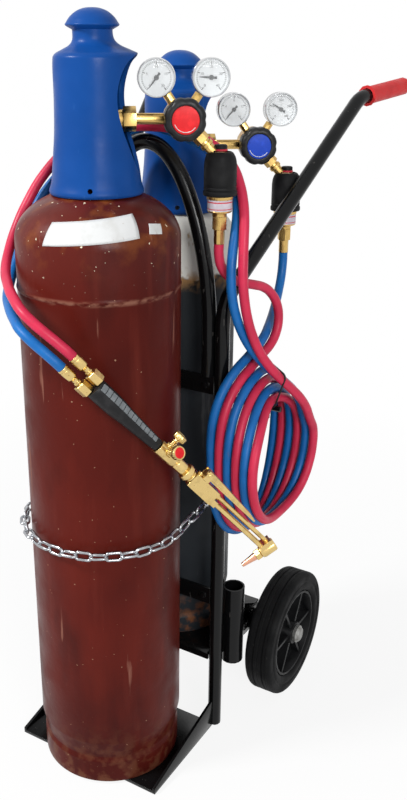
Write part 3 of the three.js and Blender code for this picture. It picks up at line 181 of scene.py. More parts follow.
# Torch frame: along the torch, across it to the right, and up between its hose tails
TORCH_PLACE = Vector((0.06630, -0.12277, 0.6164))
TORCH_TURN = Matrix.Rotation(math.radians(44.6), 3, "Z") @ Matrix.Rotation(math.radians(47.5), 3, "Y")
TAIL_START = -0.0443
TAIL_SPACING = 0.009
STRIP_BARS = 13
STRIP_START = 0.0066
STRIP_PITCH = 0.0076
STRIP_BAR = 0.0068
STRIP_SHARE = 0.34
STRIP_PROUD = 0.0009
STRIP_TURN = math.radians(50)
OXYGEN_TAP = Matrix.Translation((0.123, 0, 0))
FUEL_TAP = Matrix.Translation((0.1253, 0, 0)) @ Matrix.Rotation(math.radians(59), 4, "X")
TAP_SEAT = Matrix.Translation((0, 0, 0.016))
BODY_START = 0.1736
BODY_END = 0.2156
PIVOT = (0.1873, 0.017)
TUBE_PLACES = ((0, 0.004), (-0.004, -0.005), (0.004, -0.005))
HEAD_PLACE = Matrix.Translation((0.3276, 0, 0)) @ Matrix.Rotation(math.radians(10), 4, "Y")
TAP_RIBS = 18


def torch_point(along, across, up):
    return TORCH_PLACE + TORCH_TURN @ Vector((along, across, up))


def coil_point(side, turn):
    """A point of the red (side 1) or blue (side -1) coil, whose turns stack up steeply at the top."""
    rise = math.cos(turn)
    gather = (TOP_GATHER if rise > 0 else BOTTOM_GATHER) * rise * rise
    offset = (turn / math.pi - COIL_TURNS + side / 2) * HOSE_SPACING
    across = offset * math.cos(gather)
    inward = offset * math.sin(gather)
    return Vector((
        COIL_CENTRE[0] + across * math.cos(COIL_LEAN),
        COIL_CENTRE[1] - across * math.sin(COIL_LEAN) - (COIL_HALF_DEPTH - inward) * math.sin(turn),
        COIL_CENTRE[2] + (COIL_HALF_HEIGHT - inward) * rise,
    ))


def coil_run(side, parts=1):
    """The coil, each step cut in parts, with the straight hose at its two ends."""
    step = COIL_SWEEP / COIL_COUNT / parts
    coil = [coil_point(side, COIL_START + step * i) for i in range(COIL_COUNT * parts + 1)]
    entry = (coil[parts] - coil[0]).normalized() * HOSE_LEAD
    leave = (coil[-1] - coil[-1 - parts]).normalized() * HOSE_LEAD
    return [coil[0] - 2 * entry, coil[0] - entry, *coil, coil[-1] + leave, coil[-1] + 2 * leave]


def hose_route(tail_node, feed, side, lead, torch_end):
    low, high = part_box(tail_node)
    start = Vector(((low.x + high.x) / 2, (low.y + high.y) / 2, low.z - GAP))
    down = Vector((0, 0, -HOSE_LEAD))
    dive = TORCH_TURN @ Vector((HOSE_LEAD, 0, 0))
    return [
        start, start + down, *map(Vector, feed), *coil_run(side), *map(Vector, lead), torch_end - dive, torch_end,
    ]


def hose(name, points, material, nodes):
    curve = bpy.data.curves.new(name, "CURVE")
    curve.dimensions = "3D"
    curve.resolution_u = 4
    curve.bevel_depth = HOSE_RADIUS
    curve.bevel_resolution = 5
    curve.use_fill_caps = True
    spline = curve.splines.new("BEZIER")
    spline.bezier_points.add(len(points) - 1)
    for knot, point in zip(spline.bezier_points, points):
        knot.co = point
        knot.handle_left_type = "AUTO"
        knot.handle_right_type = "AUTO"
    curve.materials.append(material)
    piece = bpy.data.objects.new(name, curve)
    bpy.context.collection.objects.link(piece)
    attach(piece, "cart")
    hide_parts(*nodes)
    return piece


def make_hoses():
    red_end = torch_point(TAIL_START - GAP, 0, TAIL_SPACING)
    blue_end = torch_point(TAIL_START - GAP, 0, -TAIL_SPACING)
    red = hose_route("front_hose_tail", RED_FEED_POINTS, 1, RED_LEAD_POINTS, red_end)
    blue = hose_route("rear_hose_tail", BLUE_FEED_POINTS, -1, BLUE_LEAD_POINTS, blue_end)
    hose("red_hose", red, hose_rubber("red_rubber", (0.56, 0.024, 0.07), (0.42, 0.016, 0.05)),
         ("red_hose_feed", "red_hose_coil", "red_hose_lead"))
    hose("blue_hose", blue, hose_rubber("blue_rubber", (0.006, 0.125, 0.4), (0.004, 0.08, 0.27)),
         ("blue_hose_feed", "blue_hose_coil", "blue_hose_lead"))


# Materials


class Look:
    """A material grown from noise in the cart's own metres."""

    def __init__(self, name, colour, roughness, metallic=0.0, gloss=0.5):
        self.material = bpy.data.materials.new(name)
        self.material.use_nodes = True
        self.tree = self.material.node_tree
        self.shader = self.tree.nodes["Principled BSDF"]
        self.place = self.tree.nodes.new("ShaderNodeTexCoord").outputs["Object"]
        self.shader.inputs["Base Color"].default_value = (*colour, 1)
        self.shader.inputs["Roughness"].default_value = roughness
        self.shader.inputs["Metallic"].default_value = metallic
        self.shader.inputs["Specular IOR Level"].default_value = gloss
        self.colour = (*colour, 1)
        self.roughness = roughness
        self.normal = None

    def node(self, kind, **values):
        made = self.tree.nodes.new(kind)
        for name, value in values.items():
            setattr(made, name, value)
        return made

    def feed(self, socket, value):
        if isinstance(value, bpy.types.NodeSocket):
            self.tree.links.new(value, socket)
        else:
            socket.default_value = value

    def noise(self, scale, stretch=(1, 1, 1), detail=3.0):
        spread = self.node("ShaderNodeMapping")
        spread.inputs["Scale"].default_value = stretch
        self.feed(spread.inputs["Vector"], self.place)
        grain = self.node("ShaderNodeTexNoise")
        grain.inputs["Scale"].default_value = scale
        grain.inputs["Detail"].default_value = detail
        self.feed(grain.inputs["Vector"], spread.outputs["Vector"])
        return grain.outputs["Fac"]

    def height(self):
        parts = self.node("ShaderNodeSeparateXYZ")
        self.feed(parts.inputs["Vector"], self.place)
        return parts.outputs["Z"]

    def between(self, value, low, high, most=1.0, least=0.0):
        """least at low, most at high."""
        span = self.node("ShaderNodeMapRange")
        self.feed(span.inputs["Value"], value)
        span.inputs["From Min"].default_value = low
        span.inputs["From Max"].default_value = high
        span.inputs["To Min"].default_value = least
        span.inputs["To Max"].default_value = most
        return span.outputs["Result"]

    def both(self, first, second, way="MULTIPLY"):
        pair = self.node("ShaderNodeMath", operation=way)
        self.feed(pair.inputs[0], first)
        self.feed(pair.inputs[1], second)
        return pair.outputs["Value"]

    def tint(self, mask, colour):
        mix = self.node("ShaderNodeMix", data_type="RGBA")
        self.feed(mix.inputs[0], mask)
        self.feed(mix.inputs[6], self.colour)
        mix.inputs[7].default_value = (*colour, 1)
        self.colour = mix.outputs[2]
        return self

    def dull(self, mask, roughness):
        mix = self.node("ShaderNodeMix", data_type="FLOAT")
        self.feed(mix.inputs[0], mask)
        self.feed(mix.inputs[2], self.roughness)
        mix.inputs[3].default_value = roughness
        self.roughness = mix.outputs[0]
        return self

    def relief(self, height, depth, inward=False):
        bump = self.node("ShaderNodeBump", invert=inward)
        bump.inputs["Distance"].default_value = depth
        self.feed(bump.inputs["Height"], height)
        if self.normal is not None:
            self.feed(bump.inputs["Normal"], self.normal)
        self.normal = bump.outputs["Normal"]
        return self

    def done(self):
        if isinstance(self.colour, bpy.types.NodeSocket):
            self.feed(self.shader.inputs["Base Color"], self.colour)
        if isinstance(self.roughness, bpy.types.NodeSocket):
            self.feed(self.shader.inputs["Roughness"], self.roughness)
        if self.normal is not None:
            self.feed(self.shader.inputs["Normal"], self.normal)
        return self.material


def frame_paint():
    look = Look("frame_paint", (0.0032, 0.0033, 0.0036), 0.14, gloss=0.2)
    look.tint(look.between(look.noise(9), 0.5, 0.75, 0.5), (0.007, 0.007, 0.0075))
    look.tint(look.between(look.noise(160, (1, 1, 0.25)), 0.68, 0.72), (0.035, 0.033, 0.031))
    look.dull(look.between(look.noise(14), 0.4, 0.7), 0.3)
    look.relief(look.noise(420), 0.00006)
    return look.done()


def fuel_paint():
    look = Look("fuel_paint", (0.09, 0.0096, 0.006), 0.3, gloss=0.06)
    look.tint(look.between(look.noise(5.5, (1, 1, 0.6)), 0.42, 0.66, 0.8), (0.042, 0.005, 0.0038))
    look.tint(look.between(look.noise(17, (1, 1, 0.4), 6), 0.52, 0.74, 0.6), (0.03, 0.005, 0.004))
    look.tint(look.between(look.noise(9, (1, 1, 0.25), 5), 0.55, 0.72, 0.5), (0.15, 0.017, 0.009))
    look.tint(look.between(look.noise(38, (1, 1, 0.12), 6), 0.56, 0.78, 0.5), (0.14, 0.022, 0.014))
    scuffs = look.between(look.noise(55, (1, 1, 0.1), 5), 0.69, 0.73, 0.7)
    look.tint(scuffs, (0.24, 0.1, 0.07))
    low = look.both(look.between(look.height(), 0.11, 0.0), look.between(look.noise(60, detail=6), 0.46, 0.6))
    look.tint(low, (0.11, 0.035, 0.018))
    bead = look.both(look.between(look.height(), 0.704, 0.7075), look.between(look.height(), 0.713, 0.7095))
    bead = look.both(bead, look.between(look.noise(60, (1, 1, 2), 6), 0.44, 0.6, 0.7))
    look.tint(bead, (0.27, 0.12, 0.08))
    dome = look.between(look.height(), 0.735, 0.79)
    look.tint(look.both(dome, look.between(look.noise(34, detail=5), 0.52, 0.68, 0.7)), (0.2, 0.055, 0.012))
    chips = look.between(look.noise(150, detail=2), 0.715, 0.735)
    chips = look.both(chips, look.between(look.height(), 0.715, 0.765))
    look.tint(chips, (0.72, 0.62, 0.46))
    specks = look.between(look.noise(210, detail=1), 0.78, 0.795)
    look.tint(specks, (0.3, 0.16, 0.1))
    look.dull(look.between(look.noise(24), 0.42, 0.66), 0.45)
    look.dull(scuffs, 0.6)
    look.feed(look.shader.inputs["Specular IOR Level"], look.between(look.height(), 0.7, 0.77, 0.14, 0.06))
    look.relief(look.noise(13), 0.0016)
    look.relief(look.noise(150, detail=4), 0.00018)
    look.relief(chips, 0.0003, inward=True)
    return look.done()


def oxygen_paint():
    # Base colour: the body's dark grey paint, made darker still to stand for the shade it sits in behind the front
    # bottle, so real dark paint plus painted shade.
    look = Look("oxygen_paint", (0.012, 0.0145, 0.0175), 0.4, gloss=0.12)
    look.tint(look.between(look.noise(8, (1, 1, 0.3), 5), 0.4, 0.7, 0.8), (0.024, 0.028, 0.033))
    look.tint(look.between(look.noise(48, (1, 1, 0.12), 6), 0.64, 0.72, 0.7), (0.09, 0.095, 0.1))
    edge = look.both(look.height(), look.between(look.noise(26, detail=6), 0.0, 1.0, 0.03), "ADD")
    shoulder = look.between(edge, 0.708, 0.712)
    look.tint(shoulder, (0.62, 0.61, 0.57))
    band = look.both(look.between(edge, 0.69, 0.707), look.between(edge, 0.73, 0.711))
    look.tint(look.both(band, look.between(look.noise(60, detail=5), 0.45, 0.58, 0.85)), (0.3, 0.16, 0.06))
    look.tint(look.both(shoulder, look.between(look.noise(70, (1, 1, 0.4), 6), 0.62, 0.7, 0.85)), (0.33, 0.2, 0.08))
    foot = look.both(look.between(look.height(), 0.21, 0.14), look.between(look.noise(45, detail=6), 0.48, 0.62))
    look.tint(foot, (0.19, 0.07, 0.028))
    look.dull(look.between(look.noise(30), 0.4, 0.65), 0.62)
    look.relief(look.noise(16), 0.0014)
    look.relief(look.noise(170, detail=4), 0.0002)
    return look.done()


def cap_plastic():
    look = Look("cap_plastic", (0.0035, 0.049, 0.222), 0.3, gloss=0.12)
    look.tint(look.between(look.noise(15, detail=4), 0.4, 0.72, 0.6), (0.007, 0.066, 0.28))
    look.tint(look.between(look.noise(120, (1, 1, 0.2), 5), 0.66, 0.76, 0.35), (0.05, 0.16, 0.42))
    look.dull(look.between(look.noise(40), 0.42, 0.68), 0.46)
    look.relief(look.noise(22), 0.0009)
    look.relief(look.noise(380), 0.00005)
    return look.done()


def tyre_rubber():
    look = Look("tyre_rubber", (0.0048, 0.0049, 0.0053), 0.62, gloss=0.1)
    look.tint(look.between(look.noise(26, detail=6), 0.45, 0.72, 0.8), (0.0115, 0.0115, 0.012))
    look.tint(look.between(look.noise(240, detail=2), 0.66, 0.75, 0.4), (0.045, 0.043, 0.04))
    look.dull(look.between(look.noise(33), 0.4, 0.7), 0.8)
    look.relief(look.noise(520), 0.0002)
    return look.done()


def hub_plastic():
    look = Look("hub_plastic", (0.006, 0.0062, 0.0068), 0.4, gloss=0.14)
    look.tint(look.between(look.noise(40, detail=4), 0.45, 0.72, 0.7), (0.0135, 0.014, 0.015))
    look.dull(look.between(look.noise(55), 0.4, 0.7), 0.55)
    look.relief(look.noise(600), 0.00012)
    return look.done()


def boot_rubber():
    look = Look("boot_rubber", (0.0055, 0.0055, 0.006), 0.5, gloss=0.14)
    look.tint(look.between(look.noise(60, detail=5), 0.45, 0.72, 0.7), (0.0135, 0.0135, 0.014))
    look.dull(look.between(look.noise(70), 0.4, 0.7), 0.68)
    look.relief(look.noise(700), 0.0001)
    return look.done()


def grip_rubber():
    look = Look("grip_rubber", (0.58, 0.028, 0.03), 0.42, gloss=0.2)
    look.tint(look.between(look.noise(45, detail=5), 0.42, 0.72, 0.7), (0.42, 0.018, 0.022))
    look.tint(look.between(look.noise(220, detail=3), 0.68, 0.76, 0.4), (0.2, 0.05, 0.05))
    look.dull(look.between(look.noise(60), 0.4, 0.7), 0.55)
    look.relief(look.noise(560), 0.00014)
    return look.done()


def brass_look(name, colour, roughness):
    dark = tuple(0.55 * c for c in colour)
    look = Look(name, colour, roughness, metallic=1.0)
    look.tint(look.between(look.noise(70, detail=5), 0.48, 0.76, 0.75), dark)
    look.tint(look.between(look.noise(260, detail=3), 0.66, 0.74, 0.5), (0.2, 0.12, 0.04))
    look.dull(look.between(look.noise(95, detail=4), 0.4, 0.7), roughness + 0.16)
    look.relief(look.noise(900, (1, 1, 0.3)), 0.00004)
    return look.done()


def zinc_plate():
    look = Look("zinc_plate", (0.4, 0.41, 0.43), 0.2, metallic=1.0)
    look.tint(look.between(look.noise(90, detail=4), 0.5, 0.75, 0.7), (0.2, 0.2, 0.21))
    look.dull(look.between(look.noise(130), 0.4, 0.7), 0.36)
    look.relief(look.noise(800), 0.00004)
    return look.done()


def dull_steel():
    look = Look("dull_steel", (0.3, 0.3, 0.29), 0.42, metallic=0.9)
    look.tint(look.between(look.noise(120, detail=5), 0.48, 0.7, 0.8), (0.13, 0.125, 0.115))
    look.dull(look.between(look.noise(160), 0.4, 0.7), 0.6)
    look.relief(look.noise(420), 0.0001)
    return look.done()


def bezel_steel():
    look = Look("bezel_steel", (0.62, 0.63, 0.64), 0.14, metallic=1.0)
    look.tint(look.between(look.noise(180, detail=4), 0.5, 0.75, 0.5), (0.42, 0.43, 0.44))
    look.dull(look.between(look.noise(240), 0.45, 0.7), 0.28)
    return look.done()


def dial_card():
    look = Look("dial_card", (0.74, 0.76, 0.77), 0.5)
    look.tint(look.between(look.noise(140, detail=4), 0.5, 0.75, 0.5), (0.66, 0.68, 0.68))
    look.dull(look.between(look.noise(200), 0.4, 0.7), 0.62)
    return look.done()


def small_plastic(name, colour, roughness=0.4):
    paler = tuple(min(1.0, 1.5 * c + 0.01) for c in colour)
    look = Look(name, colour, roughness, gloss=0.2)
    look.tint(look.between(look.noise(110, detail=4), 0.48, 0.74, 0.6), paler)
    look.dull(look.between(look.noise(140), 0.4, 0.7), roughness + 0.15)
    look.relief(look.noise(900), 0.00005)
    return look.done()


def label_film():
    look = Look("label_film", (0.6, 0.61, 0.61), 0.4, gloss=0.25)
    look.tint(look.between(look.noise(60, detail=6), 0.5, 0.72, 0.6), (0.48, 0.48, 0.46))
    look.tint(look.between(look.noise(190, (1, 1, 0.3), 4), 0.67, 0.74, 0.6), (0.36, 0.3, 0.26))
    look.dull(look.between(look.noise(80), 0.4, 0.7), 0.5)
    look.relief(look.noise(90, detail=4), 0.0004)
    return look.done()


def hose_rubber(name, colour, deep):
    look = Look(name, colour, 0.36, gloss=0.25)
    look.tint(look.between(look.noise(30, detail=4), 0.42, 0.7, 0.7), deep)
    look.tint(look.between(look.noise(150, detail=3), 0.68, 0.75, 0.35), (0.1, 0.06, 0.06))
    look.dull(look.between(look.noise(48), 0.4, 0.7), 0.5)
    look.relief(look.noise(700), 0.00008)
    return look.done()


def gauge_glass():
    look = Look("gauge_glass", (0.9, 0.93, 0.94), 0.03)
    look.shader.inputs["Alpha"].default_value = 0.1
    look.dull(look.between(look.noise(300), 0.55, 0.75), 0.12)
    return look.done()


# Mesh making


def spin(bm, profile, place=Matrix(), segments=96, slot=0, lobe=None):
    """Turn a profile of (radius, height) round the place's Z axis; lobe scales the radius by angle."""
    rings = []
    for radius, height in profile:
        if radius < TINY:
            rings.append([bm.verts.new(place @ Vector((0, 0, height)))])
            continue
        ring = []
        for i in range(segments):
            angle = 2 * math.pi * i / segments
            reach = radius * lobe(angle, radius) if lobe else radius
            ring.append(bm.verts.new(place @ Vector((reach * math.cos(angle), reach * math.sin(angle), height))))
        rings.append(ring)
    for low, high in zip(rings, rings[1:]):
        for i in range(segments):
            j = (i + 1) % segments
            corners = [low[i % len(low)], low[j % len(low)], high[j % len(high)], high[i % len(high)]]
            corners = list(dict.fromkeys(corners))
            if len(corners) > 2:
                bm.faces.new(corners).material_index = slot


def slab(bm, low, high, place=Matrix(), slot=0):
    size = Vector(high) - Vector(low)
    middle = (Vector(high) + Vector(low)) / 2
    fit = place @ Matrix.Translation(middle) @ Matrix.Diagonal((*size, 1))
    made = bmesh.ops.create_cube(bm, size=1, matrix=fit)
    for face in {face for corner in made["verts"] for face in corner.link_faces}:
        face.material_index = slot


def wire(bm, points, radius, sides=10, closed=False, slot=0):
    """Sweep a round wire along the points."""
    points = [Vector(p) for p in points]
    count = len(points)
    rings = []
    side = None
    for i, point in enumerate(points):
        before = points[i - 1] if closed or i else point
        after = points[(i + 1) % count] if closed or i < count - 1 else point
        way = (after - before).normalized()
        side = way.orthogonal() if side is None else side - way * side.dot(way)
        side.normalize()
        other = way.cross(side)
        angles = [2 * math.pi * k / sides for k in range(sides)]
        rings.append([bm.verts.new(point + radius * (math.cos(a) * side + math.sin(a) * other)) for a in angles])
    for i in range(count if closed else count - 1):
        low, high = rings[i], rings[(i + 1) % count]
        for k in range(sides):
            m = (k + 1) % sides
            bm.faces.new([low[k], low[m], high[m], high[k]]).material_index = slot
    if not closed:
        for ring in (rings[0], rings[-1]):
            bm.faces.new(ring).material_index = slot


def eased(points, steps=5):
    """The same outline with its corners drawn as one smooth curve."""
    line = []
    for i in range(len(points) - 1):
        quad = [Vector(points[min(max(k, 0), len(points) - 1)]) for k in (i - 1, i, i + 1, i + 2)]
        for step in range(steps):
            t = step / steps
            bend = 2 * quad[0] - 5 * quad[1] + 4 * quad[2] - quad[3]
            turn = 3 * quad[1] - quad[0] - 3 * quad[2] + quad[3]
            spot = quad[1] + 0.5 * ((quad[2] - quad[0]) * t + bend * t ** 2 + turn * t ** 3)
            line.append((max(spot[0], 0.0), spot[1]))
    line.append(tuple(points[-1]))
    return line


def digits(bm, text, size, place, slot):
    curve = bpy.data.curves.new("digits", "FONT")
    curve.body = text
    curve.size = size
    curve.align_x = "CENTER"
    curve.align_y = "CENTER"
    holder = bpy.data.objects.new("digits", curve)
    bpy.context.collection.objects.link(holder)
    flat = bpy.data.meshes.new_from_object(holder.evaluated_get(bpy.context.evaluated_depsgraph_get()))
    flat.transform(place)
    start = len(bm.faces)
    bm.from_mesh(flat)
    bm.faces.ensure_lookup_table()
    for face in bm.faces[start:]:
        face.material_index = slot
    bpy.data.objects.remove(holder)
    bpy.data.curves.remove(curve)
    bpy.data.meshes.remove(flat)


def crease(bm):
    """Smooth shading that breaks at the sharp edges."""
    for face in bm.faces:
        face.smooth = True
    for edge in bm.edges:
        if len(edge.link_faces) == 2:
            edge.smooth = edge.calc_face_angle() < SHARP


def bevelled(piece, width):
    bevel = piece.modifiers.new("bevel", "BEVEL")
    bevel.width = width
    bevel.segments = 2
    bevel.limit_method = "ANGLE"
    bevel.angle_limit = SHARP
    bevel.harden_normals = True


def publish(bm, name, looks, body, slot, *nodes, bevel=0.0):
    bmesh.ops.remove_doubles(bm, verts=bm.verts, dist=TINY)
    bmesh.ops.recalc_face_normals(bm, faces=bm.faces)
    crease(bm)
    mesh = bpy.data.meshes.new(name)
    bm.to_mesh(mesh)
    bm.free()
    for look in looks:
        mesh.materials.append(look)
    piece = bpy.data.objects.new(name, mesh)
    bpy.context.collection.objects.link(piece)
    if bevel:
        bevelled(piece, bevel)
    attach(piece, body)
    if nodes:
        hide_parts(*nodes)
    return piece


def dress(look, *nodes, bevel=0.0):
    """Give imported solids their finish, with smooth rounds and eased edges."""
    for node in nodes:
        piece = NODES[node]
        piece.data.materials.clear()
        piece.data.materials.append(look)
        for polygon in piece.data.polygons:
            polygon.use_smooth = True
        weld = piece.modifiers.new("weld", "WELD")
        weld.merge_threshold = 10 * TINY
        if bevel:
            bevelled(piece, bevel)
        split = piece.modifiers.new("crease", "EDGE_SPLIT")
        split.split_angle = SHARP


# Bottles and guard caps


def arc(radius, rise, foot, start, end, steps):
    """Points of an ellipse standing on the foot, between two angles."""
    angles = [start + (end - start) * i / steps for i in range(steps + 1)]
    return [(radius * math.cos(a), foot + rise * math.sin(a)) for a in angles]


def bottle_profile(radius, base, foot_inset, foot, seam, shoulder, dome, neck, neck_top):
    ring = radius - foot_inset
    waist = ring - WAIST_DEPTH
    brim = base + foot
    profile = [(0, base + FOOT_DISH), (ring - 6 * WAIST_DEPTH, base + FOOT_DISH), (ring - 4 * WAIST_DEPTH, base)]
    profile += eased([(ring - WAIST_DEPTH, base), (ring, base + WAIST_DEPTH), (ring, brim - WAIST_DEPTH)], 4)
    profile += eased([(ring, brim), (waist, brim + 0.005), (waist, brim + 0.01), (radius, brim + 0.036)], 6)
    if seam:
        swell = [SEAM_BEAD * (1 + math.cos(math.pi * i / 4)) / 2 for i in range(-4, 5)]
        profile += [(radius + swell[i], seam + SEAM_HALF * (i - 4) / 4) for i in range(9)]
    profile += arc(radius, dome, shoulder, 0, math.acos(neck / radius), 28)
    profile += [(neck, neck_top - 0.002), (neck - 0.002, neck_top), (VALVE_STEM, neck_top)]
    return profile


def make_bottles():
    bm = bmesh.new()
    spin(bm, bottle_profile(FRONT_RADIUS, 0.0053, 0.003, 0.034, 0.71, FRONT_SHOULDER, FRONT_DOME, 0.036, 0.849),
         Matrix.Translation((0, AXIS["front"], 0)), 144)
    publish(bm, "fuel_bottle_shell", [FUEL_PAINT], "cart", "fuel_bottle_paint", "front_bottle")
    bm = bmesh.new()
    spin(bm, bottle_profile(0.08, 0.1253, 0.003, 0.026, 0, 0.733, 0.055, 0.036, 0.806),
         Matrix.Translation((0, AXIS["rear"], 0)), 128)
    publish(bm, "oxygen_bottle_shell", [OXYGEN_PAINT], "cart", "oxygen_bottle_paint", "rear_bottle")


def dome_patch(name, corners):
    """A blank film on the front bottle's dome between corners given as (bearing in degrees, height)."""
    low_left, low_right, high_right, high_left = corners
    bm = bmesh.new()
    rows = []
    for j in range(PATCH_ROWS + 1):
        v = j / PATCH_ROWS
        row = []
        for i in range(PATCH_COLUMNS + 1):
            u = i / PATCH_COLUMNS
            low = [a + (b - a) * u for a, b in zip(low_left, low_right)]
            high = [a + (b - a) * u for a, b in zip(high_left, high_right)]
            bearing, height = [a + (b - a) * v for a, b in zip(low, high)]
            lift = math.asin((height - FRONT_SHOULDER) / FRONT_DOME)
            reach = (FRONT_RADIUS + FILM) * math.cos(lift)
            turn = math.radians(bearing)
            row.append(bm.verts.new((reach * math.cos(turn), AXIS["front"] + reach * math.sin(turn),
                                     FRONT_SHOULDER + (FRONT_DOME + FILM) * math.sin(lift))))
        rows.append(row)
    for low, high in zip(rows, rows[1:]):
        for i in range(PATCH_COLUMNS):
            bm.faces.new([low[i], low[i + 1], high[i + 1], high[i]])
    piece = publish(bm, name, [LABEL_FILM], "cart", "fuel_bottle_paint")
    skin = piece.modifiers.new("film", "SOLIDIFY")
    skin.thickness = FILM


def cap_mesh(name, place):
    """The guard cap's turned shell, drawn out into a lip over its side window and cut through there."""
    outer = eased([(0.056, 0), (0.057, 0.004), (0.054, 0.014), (0.0515, 0.036), (0.0482, 0.072),
                   (0.047, 0.11), (0.0468, 0.147), (0.0444, 0.1562), (0.0355, 0.1614), (0.0272, 0.166),
                   (0.0232, 0.172), (0.023, 0.1825)])
    rim = eased([(0.023, 0.1825), (0.0292, 0.1858), (0.031, 0.1876), (0.0298, 0.1898), (0.0255, 0.1958),
                 (0.018, 0.2018), (0.009, 0.2052), (0, 0.206)])
    inner = eased([(0.0, 0.19), (0.0175, 0.183), (0.019, 0.172), (0.023, 0.1645), (0.032, 0.1575),
                   (0.0405, 0.1518), (0.0428, 0.144), (0.043, 0.11), (0.0442, 0.072), (0.0475, 0.036),
                   (0.05, 0.014), (0.052, 0)])
    bm = bmesh.new()
    spin(bm, outer + rim[1:] + inner + [outer[0]], Matrix(), 160)
    bmesh.ops.remove_doubles(bm, verts=bm.verts, dist=TINY)
    for corner in bm.verts:
        flat = Vector((corner.co.x, corner.co.y, 0))
        if flat.length > TINY:
            rise = (corner.co.z - CAP_LIP_RISE) / CAP_LIP_SPREAD
            facing = max(flat.normalized().x, 0) ** 14
            corner.co += flat.normalized() * CAP_LIP * facing * math.exp(-rise * rise)
    bmesh.ops.recalc_face_normals(bm, faces=bm.faces)
    mesh = bpy.data.meshes.new(name)
    bm.to_mesh(mesh)
    bm.free()
    shell = bpy.data.objects.new(name, mesh)
    bpy.context.collection.objects.link(shell)
    cutter = bmesh.new()
    turns = [2 * math.pi * i / 72 for i in range(72)]
    egg = [(0.034 * (1 + 0.28 * math.cos(t)) * math.sin(t), 0.09 + 0.068 * math.cos(t)) for t in turns]
    ends = [[cutter.verts.new((x, across, height)) for across, height in egg] for x in (0, 0.09)]
    for i in range(len(egg)):
        j = (i + 1) % len(egg)
        cutter.faces.new([ends[0][i], ends[0][j], ends[1][j], ends[1][i]])
    cutter.faces.new(ends[0])
    cutter.faces.new(ends[1])
    spin(cutter, [(0, 0), (0.003, 0), (0.003, 0.08), (0, 0.08)],
         Matrix.Translation((0, 0, 0.009)) @ FACING, 24)
    bmesh.ops.recalc_face_normals(cutter, faces=cutter.faces)
    cut_mesh = bpy.data.meshes.new("cap_cutter")
    cutter.to_mesh(cut_mesh)
    cutter.free()
    blade = bpy.data.objects.new("cap_cutter", cut_mesh)
    bpy.context.collection.objects.link(blade)
    boolean = shell.modifiers.new("window", "BOOLEAN")
    boolean.object = blade
    boolean.operation = "DIFFERENCE"
    boolean.solver = "EXACT"
    bpy.context.view_layer.update()
    result = bpy.data.meshes.new_from_object(shell.evaluated_get(bpy.context.evaluated_depsgraph_get()))
    bpy.data.objects.remove(shell)
    bpy.data.objects.remove(blade)
    bm = bmesh.new()
    bm.from_mesh(result)
    bm.transform(place)
    bpy.data.meshes.remove(result)
    return bm


def make_caps():
    for name, foot in CAP_FOOT.items():
        place = Matrix.Translation((0, AXIS[name], foot)) @ CAP_TURN
        bm = cap_mesh(name, place)
        bmesh.ops.dissolve_degenerate(bm, edges=bm.edges, dist=TINY)
        publish(bm, f"{name}_guard_cap", [CAP_PLASTIC], "cart", "cap_blue", f"{name}_cap", bevel=0.0012)


# Regulators, gauges and flashback arrestors


def gas_place(name):
    return Matrix.Translation((0, AXIS[name], CAP_FOOT[name] + OUTLET_RISE)) @ VALVE_TURN


def make_gauge(name, kind, side, numbers):
    place = gas_place(name) @ Matrix.Translation((REGULATOR_X + side * GAUGE_SIDE, 0, GAUGE_RISE)) @ FACING
    bm = bmesh.new()
    spin(bm, [(0, -0.008), (0.0182, -0.008), (0.0208, -0.0068), (0.022, -0.0048), (0.022, 0.0098), (0.0215, 0.0102),
              (0.0215, 0.0107), (0.022, 0.0111), (0.022, 0.0131), (0.0216, 0.0138), (0.021, 0.014),
              (0.0206, 0.0138), (0.0203, 0.0132), (0.0203, DIAL_FACE)], place, 72)
    spin(bm, [(0.0203, DIAL_FACE), (0, DIAL_FACE)], place, 72, 1)
    spin(bm, [(0, 0.0119), (0.0203, 0.0119), (0.0203, 0.0122), (0.014, 0.0127), (0.007, 0.013), (0, 0.0131)],
         place, 48, 3)
    for i in range(TICKS + 1):
        turn = DIAL_START + (DIAL_END - DIAL_START) * i / TICKS
        long = i % TICKS_PER_NUMBER == 0
        half = 0.00048 if long else 0.0003
        reach = 0.0142 if long else 0.016
        spot = place @ Matrix.Rotation(-turn, 4, "Z")
        slab(bm, (-half, reach, DIAL_FACE - 0.0001), (half, 0.0178, DIAL_FACE + 0.00012), spot, 2)
        if long:
            spot = place @ Matrix.Translation((0.0117 * math.sin(turn), 0.0117 * math.cos(turn), DIAL_FACE + 0.00015))
            digits(bm, numbers[i // TICKS_PER_NUMBER], 0.0042, spot, 2)
    publish(bm, f"{name}_{kind}_gauge", [BEZEL, DIAL, INK, GLASS], "cart", "gauge", f"{name}_gauge_{kind}")


